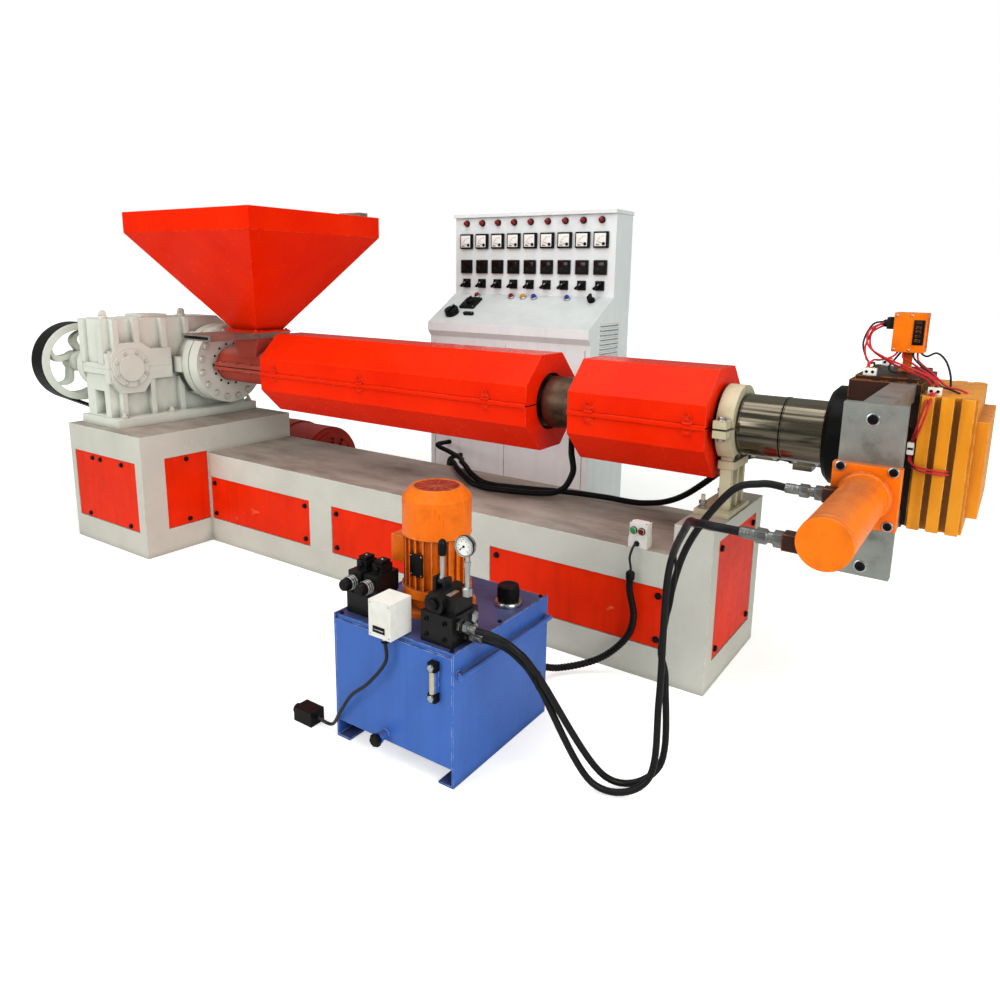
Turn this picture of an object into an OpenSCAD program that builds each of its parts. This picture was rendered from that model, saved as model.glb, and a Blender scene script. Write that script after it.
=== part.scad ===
// Plastic pelletizing machine: single screw extruder with hopper, hinged barrel guards,
// hydraulic screen changer, hydraulic unit and control cabinet.
// Millimetres. +X runs along the barrel to the die, +Z is up, the floor is z = 0.
// The origin is on the floor under the middle of the hopper.

/* [Machine bed] */
// length of the long bed
bed_l = 2420; // [2000:10:3000]
// width of bed and end pedestal
bed_w = 516; // [440:2:640]
// height of the long bed
bed_h = 450; // [380:5:520]
// where bed and gearbox pedestal meet
bed_x = -100; // [-140:5:-60]
// length of the gearbox pedestal along the barrel
ped_l = 613; // [540:1:760]
// how far the pedestal stands out to the front
ped_front = 605; // [560:1:700]
// length of the end pedestal
post_l = 130; // [110:2:200]
// depth of the recesses that hold the access panels
panel_recess = 8; // [5:0.5:14]
// thickness of the access panels
panel_t = 5; // [3:0.5:8]

/* [Gearbox and drive] */
// height of the barrel axis above the floor
axis_h = 860; // [820:5:920]
// height of the barrel axis above the gearbox pedestal
gear_rise = 280; // [260:5:310]
// height of the barrel axis above the end pedestal
post_drop = 302; // [280:2:330]
// distance from the barrel axis to the input shaft
input_d = 440; // [380:5:460]
// thickness of the gearbox case
case_t = 200; // [170:5:260]
// height of the gearbox top above the barrel axis
case_rise = 235; // [215:5:270]
// radius of the output flange
flange_r = 200; // [170:2:230]
// radius of the large belt pulley
pulley_r = 197; // [170:1:230]
// number of arms in the large pulley
pulley_arms = 5; // [4:1:6]
// radius of the motor pulley
motor_pulley_r = 95; // [80:1:120]
// number of belts
belt_n = 4; // [3:1:5]
// height of the motor shaft
motor_h = 250; // [225:5:280]
// distance from the barrel axis to the motor shaft
motor_y = 540; // [520:5:620]
// radius of the motor body
motor_r = 215; // [190:5:220]

/* [Barrel and guards] */
// radius of the bare barrel
barrel_r = 75; // [60:1:82]
// radius over the band heaters
heater_r = 98; // [90:1:104]
// width of a guard across its flat sides
guard_w = 360; // [330:2:400]
// sheet thickness of the guards
guard_t = 3; // [2:0.5:5]
// start of the long guard
guard_1_x = 231; // [225:1:260]
// gap between the two guards
guard_gap = 172; // [120:2:220]
// length of the short guard
guard_2_l = 499; // [400:1:560]
// gap between tray and lid
part_gap = 5; // [4:0.5:8]
// radius of the hole in the guard ends
guard_hole_r = 108; // [105:1:125]
// radius of the hinge knuckles
knuckle_r = 7; // [6:0.5:7]
// radius of the hinge pins
hinge_pin_r = 4; // [3:0.5:4.5]
// play between pin and knuckle
pin_play = 0.3; // [0.2:0.05:0.5]

/* [Hopper] */
// length of the hopper mouth along the barrel
hopper_l = 926; // [800:2:930]
// width of the hopper mouth
hopper_w = 774; // [700:2:900]
// height of the hopper from foot to rim
hopper_h = 547; // [460:1:640]
// height of the upright rim band
hopper_rim_h = 95; // [60:1:140]
// height of the hopper foot above the barrel axis
foot_rise = 187; // [182:1:215]
// length of the hopper neck
neck_l = 180; // [150:2:200]
// width of the hopper neck
neck_w = 160; // [140:2:200]
// sheet thickness of the hopper
hopper_t = 4; // [3:0.5:6]

/* [Screen changer and die] */
// radius of the black barrel flange
head_flange_r = 152; // [140:1:170]
// thickness of the black barrel flange
head_flange_l = 70; // [50:2:90]
// half width of the screen changer body
changer_w = 195; // [170:5:230]
// length of the screen changer body along the barrel
changer_l = 182; // [180:2:240]
// half height of the screen changer body
changer_h = 196; // [170:2:230]
// thickness of the heater plates on the screen changer
heater_plate_t = 12; // [8:1:20]
// thickness of the screen slide
slide_t = 50; // [40:1:60]
// height of the screen slide
slide_h = 160; // [130:2:200]
// play between the screen slide and its slot
slide_play = 2; // [1:0.5:4]
// width of the tie bars
tie_w = 62; // [50:1:80]
// height of the tie bars
tie_h = 46; // [36:1:60]
// distance from the barrel axis to the front of the cylinder plate
plate_y = 640; // [560:5:720]
// thickness of the cylinder plate
plate_t = 28; // [20:1:40]
// width of the cylinder plate
plate_w = 133; // [120:1:160]
// height of the cylinder plate
plate_h = 404; // [380:2:440]
// radius of the hydraulic cylinder
cyl_r = 52; // [45:1:60]
// length of the hydraulic cylinder
cyl_l = 395; // [330:5:450]
// side of the square cylinder flange
cyl_flange_s = 144; // [128:2:160]
// thickness of the square cylinder flange
cyl_flange_t = 28; // [20:1:36]
// length of the die head
die_l = 165; // [140:5:220]
// half width of the die head
die_w = 225; // [200:5:260]
// height of the die head above the barrel axis
die_up = 170; // [150:5:190]
// depth of the die head below the barrel axis
die_down = 195; // [170:5:220]
// number of strand holes
die_holes = 12; // [6:1:14]

/* [Hydraulic unit] */
// left end of the tank
tank_x = 1649; // [1600:1:1680]
// length of the tank
tank_l = 428; // [400:1:480]
// width of the tank
tank_w = 462; // [430:1:500]
// distance from the barrel axis to the front of the tank
tank_y = 1089; // [1060:1:1120]
// height of the tank
tank_h = 381; // [350:1:420]
// height of the tank floor
tank_leg = 55; // [40:1:80]
// radius of the pump motor
pump_r = 99; // [80:1:105]
// height of the top of the pump motor
pump_top = 742; // [700:2:800]

/* [Control cabinet] */
// left end of the cabinet
cab_x = 425; // [380:5:480]
// length of the cabinet
cab_l = 1000; // [960:5:1100]
// distance from the barrel axis to the front of the desk
cab_y = 804; // [790:2:900]
// depth of the cabinet
cab_d = 437; // [400:1:500]
// height of the cabinet
cab_h = 1655; // [1600:5:1720]
// height of the front edge of the desk
desk_h = 1073; // [1000:2:1120]
// height of the foot of the upright panel
panel_h = 1226; // [1180:2:1280]
// distance from the front of the desk to the upright panel
panel_d = 254; // [220:2:280]
// instruments in a row
row_n = 9; // [6:1:9]
// distance between instruments
row_pitch = 105; // [100:1:110]
// side of the square meters
meter_s = 80; // [64:2:96]
// side of the square controllers
control_s = 72; // [48:2:80]
// side of the square switch plates
switch_s = 48; // [40:2:56]
// radius of the lamps
lamp_r = 15; // [11:1:18]

/* [Hidden] */
$fn = 48;
ped_x = bed_x - ped_l;
bed_end = bed_x + bed_l;
post_end = bed_end + post_l;
ped_h = axis_h - gear_rise;
post_h = axis_h - post_drop;
case_top = axis_h + case_rise;
hopper_foot = axis_h + foot_rise;
hopper_top = hopper_foot + hopper_h;
case_x1 = -440;
case_x0 = case_x1 - case_t;
case_y0 = -input_d - 95;
case_y1 = bed_w / 2 - 28;
pulley_x = ped_x - 187;
panel_l = 0.29 * bed_l;
panel_pitch = (bed_l - 28 - panel_l) / 2;
belt_pitch = 26;
belt_w = 17;
groove_d = 10;
pulley_w = belt_n * belt_pitch + 12;
belt_half = belt_n * belt_pitch / 2 - (belt_pitch - belt_w) / 2;
clamp_gap = 13;
clamp_x0 = bed_end + post_l / 2;
clamp_x1 = clamp_x0 + 55;
guard_2_end = clamp_x0 - clamp_gap;
guard_2_x = guard_2_end - guard_2_l;
guard_1_l = guard_2_x - guard_gap - guard_1_x;
guard_1_latches = [for (k = [0.065, 0.435, 0.878]) guard_1_x + k * guard_1_l];
guard_1_hinges = [for (k = [0.122, 0.5, 0.878]) guard_1_x + k * guard_1_l];
band_n = 5;
band_gap = 23;
band_pitch = (guard_1_l - 45) / band_n;
hinge_y = guard_w / 2 + 8;
head_x0 = clamp_x1 + 2;
head_x1 = head_x0 + 266;
flange_x1 = head_x1 + head_flange_l;
changer_x1 = flange_x1 + changer_l;
changer_x = changer_x1 - 44;
die_x1 = changer_x1 + die_l;
cyl_z = axis_h - 12;
tank_x1 = tank_x + tank_l;
tank_back = -tank_y + tank_w;
cab_panel_y = cab_y + panel_d;
panel_rise = cab_h - panel_h;
row_x0 = cab_x + cab_l / 2 - (row_n - 1) * row_pitch / 2;
desk_a = atan((panel_h - desk_h) / panel_d);
desk_run = panel_d / cos(desk_a);
lever_x = tank_x + 330;
lever_y = -tank_y + 78;
lever_z = tank_h + 152;
// places where hoses and cables start and end
hose_x = tank_x + 461;
port_x = changer_x - cyl_r - 107;
port_1_y = -plate_y - 60;
port_1_z = cyl_z + 1;
port_2_y = -plate_y - cyl_l;
port_2_z = cyl_z - 15;
pendant_x = bed_end - 126;
pendant_y = -bed_w / 2 + 2;
gland_x = tank_x1 - 132;
gap_heater_x = guard_2_x - 83;
plug_x = tank_x - 89;
plug_y = -tank_y + 5;
// gap between the end of a cord and what it goes into
cord_gap = 0.4;
// centre lines of the hoses: share of the way from valve to port, place across, share of the axis height
function hose_at(k, y, h) = [hose_x + k * (port_x - hose_x), y, h * axis_h];
hose_up_pts = [[hose_x + cord_gap, -tank_y + 49, tank_h + 59], [hose_x + 57, -tank_y + 49, tank_h + 59],
  hose_at(0.170, -tank_y + 63, 0.483), hose_at(0.240, -tank_y + 102, 0.397),
  hose_at(0.448, -plate_y - 216, 0.044), hose_at(0.631, -plate_y - 139, 0.083),
  hose_at(0.614, -plate_y - 104, 0.341), hose_at(0.580, -plate_y - 91, 0.457),
  hose_at(0.631, -plate_y - 63, 0.737), hose_at(0.787, port_1_y, 0.942),
  [port_x - 61, port_1_y, port_1_z], [port_x - cord_gap, port_1_y, port_1_z]];
hose_low_pts = [[hose_x + cord_gap, -tank_y + 79, tank_h + 23], [hose_x + 58, -tank_y + 79, tank_h + 23],
  hose_at(0.167, -tank_y + 89, 0.438), hose_at(0.230, -tank_y + 118, 0.355),
  hose_at(0.416, -plate_y - 250, 0.036), hose_at(0.618, -plate_y - 195, 0.069),
  hose_at(0.620, -plate_y - 151, 0.317), hose_at(0.618, -plate_y - 139, 0.691),
  hose_at(0.764, -plate_y - 291, 0.913), hose_at(0.842, -plate_y - 368, 0.958),
  [port_x - 53, port_2_y, port_2_z], [port_x - cord_gap, port_2_y, port_2_z]];
// thin lead of the switch box and the conduit that takes it to the tank
lead_pts = [[pendant_x, pendant_y - cord_gap, bed_h + 16], [pendant_x, pendant_y - 21, bed_h + 16],
  [pendant_x, pendant_y - 37, bed_h + 6], [pendant_x - 2, pendant_y - 48, bed_h - 20],
  [pendant_x - 2, pendant_y - 36, bed_h - 56], [pendant_x - 2, pendant_y - 36, bed_h - 76]];
function conduit_at(k, y, z) = [pendant_x - 2 + k * (gland_x - pendant_x + 2), y, z];
pendant_pts = [conduit_at(0, pendant_y - 36, bed_h - 76 - cord_gap), conduit_at(0, pendant_y - 36, bed_h - 135),
  conduit_at(-0.066, pendant_y - 30, 220), conduit_at(0.04, pendant_y - 33, 134),
  conduit_at(0.385, pendant_y - 57, 47), conduit_at(0.79, tank_back + 223, 23),
  conduit_at(0.98, tank_back + 117, 67), conduit_at(1, tank_back + 59, 82),
  conduit_at(1, tank_back + 12 + cord_gap, 82)];
// conduits from the heaters over the bed to the cabinet: share of the way to the cabinet, place across
bed_rest = bed_h + 18;
function heater_at(k, y, z) = [head_x0 + 129 - k * (head_x0 - 6 - cab_x), y, z];
heater_pts = [heater_at(cord_gap / 2000, 95, axis_h - 118), heater_at(0.039, 95, axis_h - 118),
  heater_at(0.085, 105, axis_h - 148), heater_at(0.197, 188, lerp(bed_rest, axis_h, 0.14)),
  heater_at(0.269, 176, bed_rest + 4), heater_at(0.357, 167, bed_rest), heater_at(0.437, 139, bed_rest),
  heater_at(0.512, 88, bed_rest), heater_at(0.596, 52, bed_rest), heater_at(0.666, 133, bed_rest),
  heater_at(0.725, 240, bed_rest + 1), heater_at(0.782, 361, bed_rest - 17),
  heater_at(0.828, 477, bed_rest - 39), heater_at(0.915, 615, bed_rest - 56),
  heater_at(1, cab_y - 84, bed_rest - 58), heater_at(1, cab_y + 26 - cord_gap, bed_rest - 58)];
function gap_at(k, y, z) = [gap_heater_x - k * (gap_heater_x - cab_x - 215), y, z];
gap_pts = [gap_at(0, 10, axis_h - 112 - cord_gap), gap_at(0, 10, lerp(bed_rest, axis_h, 0.52)),
  gap_at(0.015, 53, lerp(bed_rest, axis_h, 0.26)), gap_at(0.096, 73, bed_rest + 9),
  gap_at(0.291, 1, bed_rest), gap_at(0.397, 12, bed_rest), gap_at(0.5, 94, bed_rest),
  gap_at(0.591, 182, bed_rest), gap_at(0.677, 278, bed_rest - 3), gap_at(0.756, 376, bed_rest - 47),
  gap_at(0.83, 477, bed_rest - 87), gap_at(0.943, 636, bed_rest - 123),
  gap_at(1, cab_y - 63, bed_rest - 123), gap_at(1, cab_y + 26 - cord_gap, bed_rest - 123)];
// thin cable of the hydraulic unit
tank_cable_pts = [[tank_x + 217, -tank_y - 24, tank_h - 14 - cord_gap], [tank_x + 217, -tank_y - 24, tank_h - 72],
  [tank_x + 155, -tank_y - 28, 0.6 * tank_h], [tank_x + 88, -tank_y - 27, 0.444 * tank_h],
  [tank_x + 36, -tank_y - 22, 0.252 * tank_h], [plug_x + 61, plug_y, 22],
  [plug_x + cord_gap, plug_y, 22]];

module box(x0, x1, y0, y1, z0, z1) {
  translate([x0, y0, z0]) cube([x1 - x0, y1 - y0, z1 - z0]);
}

module rod_x(x0, x1, y, z, r) {
  translate([x0, y, z]) rotate([0, 90, 0]) cylinder(h = x1 - x0, r = r);
}

module rod_y(y0, y1, x, z, r) {
  translate([x, y1, z]) rotate([90, 0, 0]) cylinder(h = y1 - y0, r = r);
}

module rod_z(z0, z1, x, y, r) {
  translate([x, y, z0]) cylinder(h = z1 - z0, r = r);
}

// a flat shape in Y and Z drawn out along the barrel
module along_x(x0, x1) {
  translate([x0, 0, 0]) rotate([90, 0, 90]) linear_extrude(x1 - x0) children();
}

// points on a smooth curve through the route points
function curve_at(p, i, t) =
  let (a = p[max(i - 1, 0)], b = p[i], c = p[i + 1], d = p[min(i + 2, len(p) - 1)])
  0.5 * (2 * b + (c - a) * t + (2 * a - 5 * b + 4 * c - d) * t * t
    + (3 * b - a - 3 * c + d) * t * t * t);
function curve(p, n) =
  [for (i = [0 : len(p) - 2]) for (k = [0 : n - 1]) curve_at(p, i, k / n), p[len(p) - 1]];
function unit(v) = v / norm(v);
function lerp(a, b, t) = a + (b - a) * t;
function side(t) = unit(cross(t, abs(t[2]) > 0.9 ? [0, 1, 0] : [0, 0, 1]));

// round tube that follows a route
module cord(p, n, r) {
  q = curve(p, n);
  m = len(q);
  k = 10;
  rings = [for (i = [0 : m - 1])
    let (t = unit(i == 0 ? p[1] - p[0] : i == m - 1 ? p[len(p) - 1] - p[len(p) - 2] : q[i + 1] - q[i - 1]),
      s = side(t), u = cross(s, t))
    for (j = [0 : k - 1]) q[i] + r * (cos(360 * j / k) * s + sin(360 * j / k) * u)];
  walls = [for (i = [0 : m - 2]) for (j = [0 : k - 1])
    [i * k + j, i * k + (j + 1) % k, (i + 1) * k + (j + 1) % k, (i + 1) * k + j]];
  polyhedron(rings, concat([[for (j = [k - 1 : -1 : 0]) j]], walls,
    [[for (j = [0 : k - 1]) (m - 1) * k + j]]), convexity = 6);
}

module gearbox_pedestal() {
  color("#c8c9c2")
  difference() {
    box(ped_x, bed_x, -ped_front, bed_w / 2, 0, ped_h);
    box(ped_x + 35, bed_x - 53, -ped_front - 1, -ped_front + panel_recess, 118, ped_h - 128);
    box(ped_x + 35, bed_x - 53, bed_w / 2 - panel_recess, bed_w / 2 + 1, 118, ped_h - 128);
    box(bed_x - panel_recess, bed_x + 1, -ped_front + 115, -bed_w / 2 - 2, 118, ped_h - 118);
    // cable slot in the left end
    box(ped_x - 1, ped_x + 30, -90, 90, 60, 200);
  }
}

module bed_pockets(y0, y1, grow, z0, z1) {
  for (i = [0 : 2])
    box(bed_x + 14 + i * panel_pitch - grow, bed_x + 14 + i * panel_pitch + panel_l + grow,
      y0, y1, z0, z1);
}

module bed() {
  color("#c8c9c2")
  difference() {
    box(bed_x, bed_end, -bed_w / 2, bed_w / 2, 0, bed_h);
    bed_pockets(-bed_w / 2 - 1, -bed_w / 2 + panel_recess, 2, 118, bed_h - 118);
    bed_pockets(bed_w / 2 - panel_recess, bed_w / 2 + 1, 2, 118, bed_h - 118);
  }
}

module end_pedestal() {
  color("#c8c9c2")
  difference() {
    box(bed_end, post_end, -bed_w / 2, bed_w / 2, 0, post_h);
    box(post_end - panel_recess, post_end + 1, -bed_w / 2 + 61, bed_w / 2 - 61, 98, post_h - 48);
  }
}

module access_panels() {
  color("#e8300f") {
    box(ped_x + 37, bed_x - 55, -ped_front + panel_recess - panel_t, -ped_front + panel_recess, 120, ped_h - 130);
    box(ped_x + 37, bed_x - 55, bed_w / 2 - panel_recess, bed_w / 2 - panel_recess + panel_t, 120, ped_h - 130);
    box(bed_x - panel_recess, bed_x - panel_recess + panel_t, -ped_front + 117, -bed_w / 2 - 4, 120, ped_h - 120);
    bed_pockets(-bed_w / 2 + panel_recess - panel_t, -bed_w / 2 + panel_recess, 0, 120, bed_h - 120);
    bed_pockets(bed_w / 2 - panel_recess, bed_w / 2 - panel_recess + panel_t, 0, 120, bed_h - 120);
    box(post_end - panel_recess, post_end - panel_recess + panel_t, -bed_w / 2 + 63, bed_w / 2 - 63, 100, post_h - 50);
  }
}

// raised frame round the input bearing and the web that runs from it to the output neck
module case_boss() {
  a = 130;
  c = 62;
  along_x(case_x1 - 5, case_x1 + 38)
    polygon([[-input_d - a + 35, axis_h - c], [-input_d - c + 12, axis_h - a + 8],
      [-input_d + c, axis_h - a + 8], [-input_d + a - 20, axis_h - c], [-222, axis_h - c],
      [-222, axis_h + c + 25], [-input_d + a - 20, axis_h + c + 25], [-input_d + c, axis_h + a - 8],
      [-input_d - c + 12, axis_h + a - 8], [-input_d - a + 35, axis_h + c]]);
}

// one cast rib on the face of the case
module case_rib(y, w, z0, z1, out) {
  box(case_x1 - 5, case_x1 + out, y - w / 2, y + w / 2, z0, z1);
}

// space of the cast neck in front of the case
module output_neck(play) {
  rod_x(case_x1, case_x1 + 93, 0, axis_h, flange_r - 7 + play);
  box(case_x1 + 19, case_x1 + 93, -flange_r - 7, flange_r + 7, axis_h - 39, axis_h + 39);
}

module gearbox_lower_case() {
  color("#d6d6cc")
  intersection() {
    box(case_x0 - 120, case_x1 + 120, case_y0 - 60, case_y1 + 60, ped_h, axis_h);
    difference() {
      union() {
        box(case_x0, case_x1, case_y0, case_y1, ped_h, axis_h);
        box(case_x0 - 40, case_x1 + 87, case_y0 - 15, case_y1 + 12, ped_h, ped_h + 42);
        box(case_x0 - 15, case_x1 + 15, case_y0 - 12, case_y1 + 10, axis_h - 26, axis_h);
        case_boss();
        for (y = [-480, -330, -170, 120])
          case_rib(y, 26, ped_h + 42, axis_h - 60, 36);
        for (y = [-480, -330, -170, 0, 120])
          box(case_x0 - 30, case_x0 + 5, y - 13, y + 13, ped_h + 42, axis_h - 26);
        // round bearing housings on the left side
        rod_x(case_x0 - 45, case_x0 + 5, -input_d, axis_h, 112);
        rod_x(case_x0 - 35, case_x0 + 5, 0, axis_h, 150);
        // corner lugs at the split
        for (y = [case_y0 - 12, case_y1 - 50])
          box(case_x1 - 5, case_x1 + 30, y, y + 62, axis_h - 70, axis_h);
      }
      output_neck(0.3);
      // cored recess in the front end
      box(case_x0 + 70, case_x1 - 45, case_y0 - 20, case_y0 + 45, ped_h + 50, axis_h - 110);
    }
  }
}

module gearbox_upper_case() {
  color("#d6d6cc") {
    intersection() {
      difference() {
        union() {
          along_x(case_x0, case_x1)
            polygon([[case_y0, axis_h], [case_y1, axis_h], [case_y1, case_top - 110],
              [case_y1 - 150, case_top], [case_y0, case_top]]);
          box(case_x0 - 15, case_x1 + 15, case_y0 - 12, case_y1 + 10, axis_h, axis_h + 26);
          case_boss();
          for (y = [-500, -395, -250])
            case_rib(y, 30, axis_h + 26, case_top, 34);
          case_rib(-120, 24, axis_h + 60, case_top, 30);
          for (y = [-480, -330, -170, 0])
            box(case_x0 - 30, case_x0 + 5, y - 13, y + 13, axis_h + 26, case_top);
          rod_x(case_x0 - 45, case_x0 + 5, -input_d, axis_h, 112);
          rod_x(case_x0 - 35, case_x0 + 5, 0, axis_h, 150);
          // front corner pillars
          for (x = [case_x0, case_x1 - 40])
            box(x, x + 40, case_y0 - 18, case_y0 + 5, axis_h + 26, case_top);
          for (y = [case_y0 - 12, case_y1 - 50])
            box(case_x1 - 5, case_x1 + 30, y, y + 62, axis_h, axis_h + 75);
        }
        output_neck(0.3);
      }
      box(case_x0 - 120, case_x1 + 120, case_y0 - 60, case_y1 + 60, axis_h, case_top);
    }
    // inspection cover and lifting lugs on top
    box(case_x0 + 30, case_x1 - 30, -330, -190, case_top - 10, case_top + 16);
    for (y = [case_y0 + 30, -90]) {
      rod_z(case_top - 10, case_top + 14, case_x1 - 60, y, 20);
      rod_x(case_x1 - 67, case_x1 - 53, y, case_top + 24, 18);
    }
  }
}

module bearing_caps() {
  color("#cfc9bd") {
    rod_x(case_x1 + 38, case_x1 + 46, -input_d, axis_h, 92);
    rod_x(case_x1 + 46, case_x1 + 52, -input_d, axis_h, 64);
    rod_x(case_x0 - 55, case_x0 - 35, 0, axis_h, 118);
  }
}

module output_flange() {
  x0 = case_x1;
  color("#d6d6cc") {
    rod_x(x0, x0 + 92, 0, axis_h, flange_r - 32);
    rod_x(x0 + 90, x0 + 140, 0, axis_h, flange_r);
    rod_x(x0 + 140, x0 + 146, 0, axis_h, flange_r - 6);
    rod_x(x0 + 146, x0 + 212, 0, axis_h, flange_r);
    // split lugs on both sides of the neck
    for (s = [-1, 1])
      box(x0 + 20, x0 + 92, min(s * (flange_r - 60), s * (flange_r + 6)),
        max(s * (flange_r - 60), s * (flange_r + 6)), axis_h - 38, axis_h + 38);
    // stiffening webs between case and flange
    for (a = [55, 125, 235, 305])
      translate([x0, 0, axis_h]) rotate([a, 0, 0]) box(0, 92, flange_r - 60, flange_r - 8, -10, 10);
  }
}

// half section of a grooved rim: distance from the axis, place along the axis
function rim_points(r, ri, w, n) = concat(
  [[ri, -w / 2], [r, -w / 2]],
  [for (i = [0 : n - 1]) let (c = (i - (n - 1) / 2) * belt_pitch, h = belt_w / 2 + 0.5)
    each [[r, c - h], [r - groove_d, c - h], [r - groove_d, c + h], [r, c + h]]],
  [[r, w / 2], [ri, w / 2]]);

module pulley_rim(r, ri, w, n) {
  rotate([0, 90, 0]) rotate_extrude($fn = 96) polygon(rim_points(r, ri, w, n));
}

// outline of one curved arm between hub and rim
function arm_side(side) = [for (k = [0 : 8])
  let (r = 44 + k * (pulley_r - 76) / 8, a = 26 * sin(180 * k / 8), w = 34 - 1.2 * k)
  [r * cos(a) - side * w / 2 * sin(a), r * sin(a) + side * w / 2 * cos(a)]];

module drive_pulley() {
  color("#d8d8cf")
  translate([pulley_x, -input_d, axis_h]) {
    pulley_rim(pulley_r, pulley_r - 34, pulley_w, belt_n);
    rod_x(-50, 56, 0, 0, 52);
    // shaft back to the bearing housing of the gearbox
    rod_x(-62, case_x0 - 45.3 - pulley_x, 0, 0, 32);
    for (i = [0 : pulley_arms - 1])
      rotate([i * 360 / pulley_arms, 0, 0])
        along_x(-20, 20)
          polygon(concat(arm_side(1), [for (k = [8 : -1 : 0]) arm_side(-1)[k]]));
  }
}

// outline of a loop round both pulleys, at one height over the rims
function belt_loop(over) =
  let (dy = motor_y + input_d, dz = motor_h - axis_h, a = atan2(dz, dy),
    b = acos((pulley_r - motor_pulley_r) / norm([dy, dz])))
  concat(
    [for (k = [0 : 60]) let (t = a + b + k * (360 - 2 * b) / 60)
      [-input_d + (pulley_r + over) * cos(t), axis_h + (pulley_r + over) * sin(t)]],
    [for (k = [0 : 40]) let (t = a - b + k * 2 * b / 40)
      [motor_y + (motor_pulley_r + over) * cos(t), motor_h + (motor_pulley_r + over) * sin(t)]]);

// joined belts: a band on top with a rib in every groove
module drive_belts() {
  color("#1b1b1c")
  difference() {
    along_x(pulley_x - belt_half, pulley_x + belt_half) polygon(belt_loop(4));
    along_x(pulley_x - belt_half - 1, pulley_x + belt_half + 1) polygon(belt_loop(0.6 - groove_d));
    for (i = [0 : belt_n - 2])
      along_x(pulley_x - belt_half + i * belt_pitch + belt_w, pulley_x - belt_half + (i + 1) * belt_pitch)
        polygon(belt_loop(0.6));
  }
}

module motor_pulley() {
  color("#8d8f8c")
  translate([pulley_x, motor_y, motor_h]) {
    pulley_rim(motor_pulley_r, 30, pulley_w, belt_n);
    rod_x(-pulley_w / 2 - 8, ped_x - 62 - pulley_x, 0, 0, 38);
  }
}

module main_motor() {
  x0 = ped_x - 62;
  x1 = bed_x - 240;
  color("#b3231a") {
    rod_x(x0 + 40, x1 - 95, motor_y, motor_h, motor_r - 20);
    rod_x(x0, x0 + 45, motor_y, motor_h, motor_r - 5);
    rod_x(x1 - 100, x1, motor_y, motor_h, motor_r);
    // cooling fins along the body
    for (a = [0 : 15 : 345])
      translate([0, motor_y, motor_h]) rotate([a, 0, 0])
        box(x0 + 40, x1 - 98, -3, 3, motor_r - 30, motor_r - 2);
    // feet
    for (s = [-1, 1])
      box(x0 + 80, x1 - 130, motor_y + s * 170 - 55, motor_y + s * 170 + 55, 0, 28);
    for (s = [-1, 1], x = [x0 + 100, x1 - 190])
      box(x, x + 40, motor_y + s * 165 - 25, motor_y + s * 165 + 25, 20, motor_h - 60);
    motor_cowl(x1, x1 + 270);
    // terminal box on the far side
    box(x0 + 170, x0 + 350, motor_y + motor_r - 40, motor_y + motor_r + 85, motor_h - 90, motor_h + 90);
  }
}

// fan cowl with a ring of air slots in its end
module motor_cowl(x0, x1) {
  difference() {
    union() {
      rod_x(x0, x1 - 24, motor_y, motor_h, motor_r - 8);
      rod_x(x1 - 24, x1 - 8, motor_y, motor_h, motor_r - 18);
      rod_x(x1 - 8, x1, motor_y, motor_h, motor_r - 40);
    }
    for (a = [0 : 30 : 330])
      translate([0, motor_y, motor_h]) rotate([a, 0, 0]) box(x1 - 14, x1 + 1, 70, 150, -11, 11);
  }
}

module barrel() {
  color("#5a5652") {
    rod_x(guard_1_x - 6, head_x1, 0, axis_h, barrel_r);
    rod_x(guard_1_x + 15, guard_1_x + 55, 0, axis_h, barrel_r + 45);
  }
}

module barrel_heaters() {
  color("#3f3a36")
  difference() {
    union() {
      for (i = [0 : band_n - 1]) {
        x = guard_1_x + 75 + i * band_pitch;
        rod_x(x, x + min(band_pitch - band_gap, guard_1_x + guard_1_l - 12 - x), 0, axis_h, heater_r);
      }
      rod_x(guard_1_x + guard_1_l + 15, guard_2_x - 12, 0, axis_h, heater_r);
      // cable gland under the band between the guards
      rod_z(axis_h - 112, axis_h - 60, gap_heater_x, 10, 16);
      rod_x(guard_2_x + 10, guard_2_x + guard_2_l / 2 - 11, 0, axis_h, heater_r);
      rod_x(guard_2_x + guard_2_l / 2 + 11, guard_2_end - 12, 0, axis_h, heater_r);
    }
    rod_x(guard_1_x, guard_2_end + 50, 0, axis_h, barrel_r);
  }
}

module feed_section() {
  x0 = case_x1 + 212;
  x1 = guard_1_x - 6;
  color("#a8352a") {
    rod_x(x0, x1, 0, axis_h, 88);
    for (z = [axis_h - 17, axis_h + 3])
      box(x0 + 24, x1 - 20, -118, 118, z, z + 14);
    // tapered inlet under the slide gate
    intersection() {
      along_x(-120, 120)
        polygon([[-70, axis_h + 50], [70, axis_h + 50], [84, hopper_foot - 37], [-84, hopper_foot - 37]]);
      rotate([90, 0, 0]) linear_extrude(240, center = true)
        polygon([[-62, axis_h + 50], [62, axis_h + 50], [100, hopper_foot - 37], [-100, hopper_foot - 37]]);
    }
  }
}

module slide_gate() {
  z1 = hopper_foot - 9;
  color("#9a978f")
  difference() {
    union() {
      box(-105, 105, -350, 110, z1 - 28, z1);
      box(-112, 112, -112, 112, z1 - 6, z1);
    }
    // open end of the tray in front of the closed gate
    box(-92, 92, -360, -280, z1 - 21, z1 - 7);
  }
}

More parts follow.
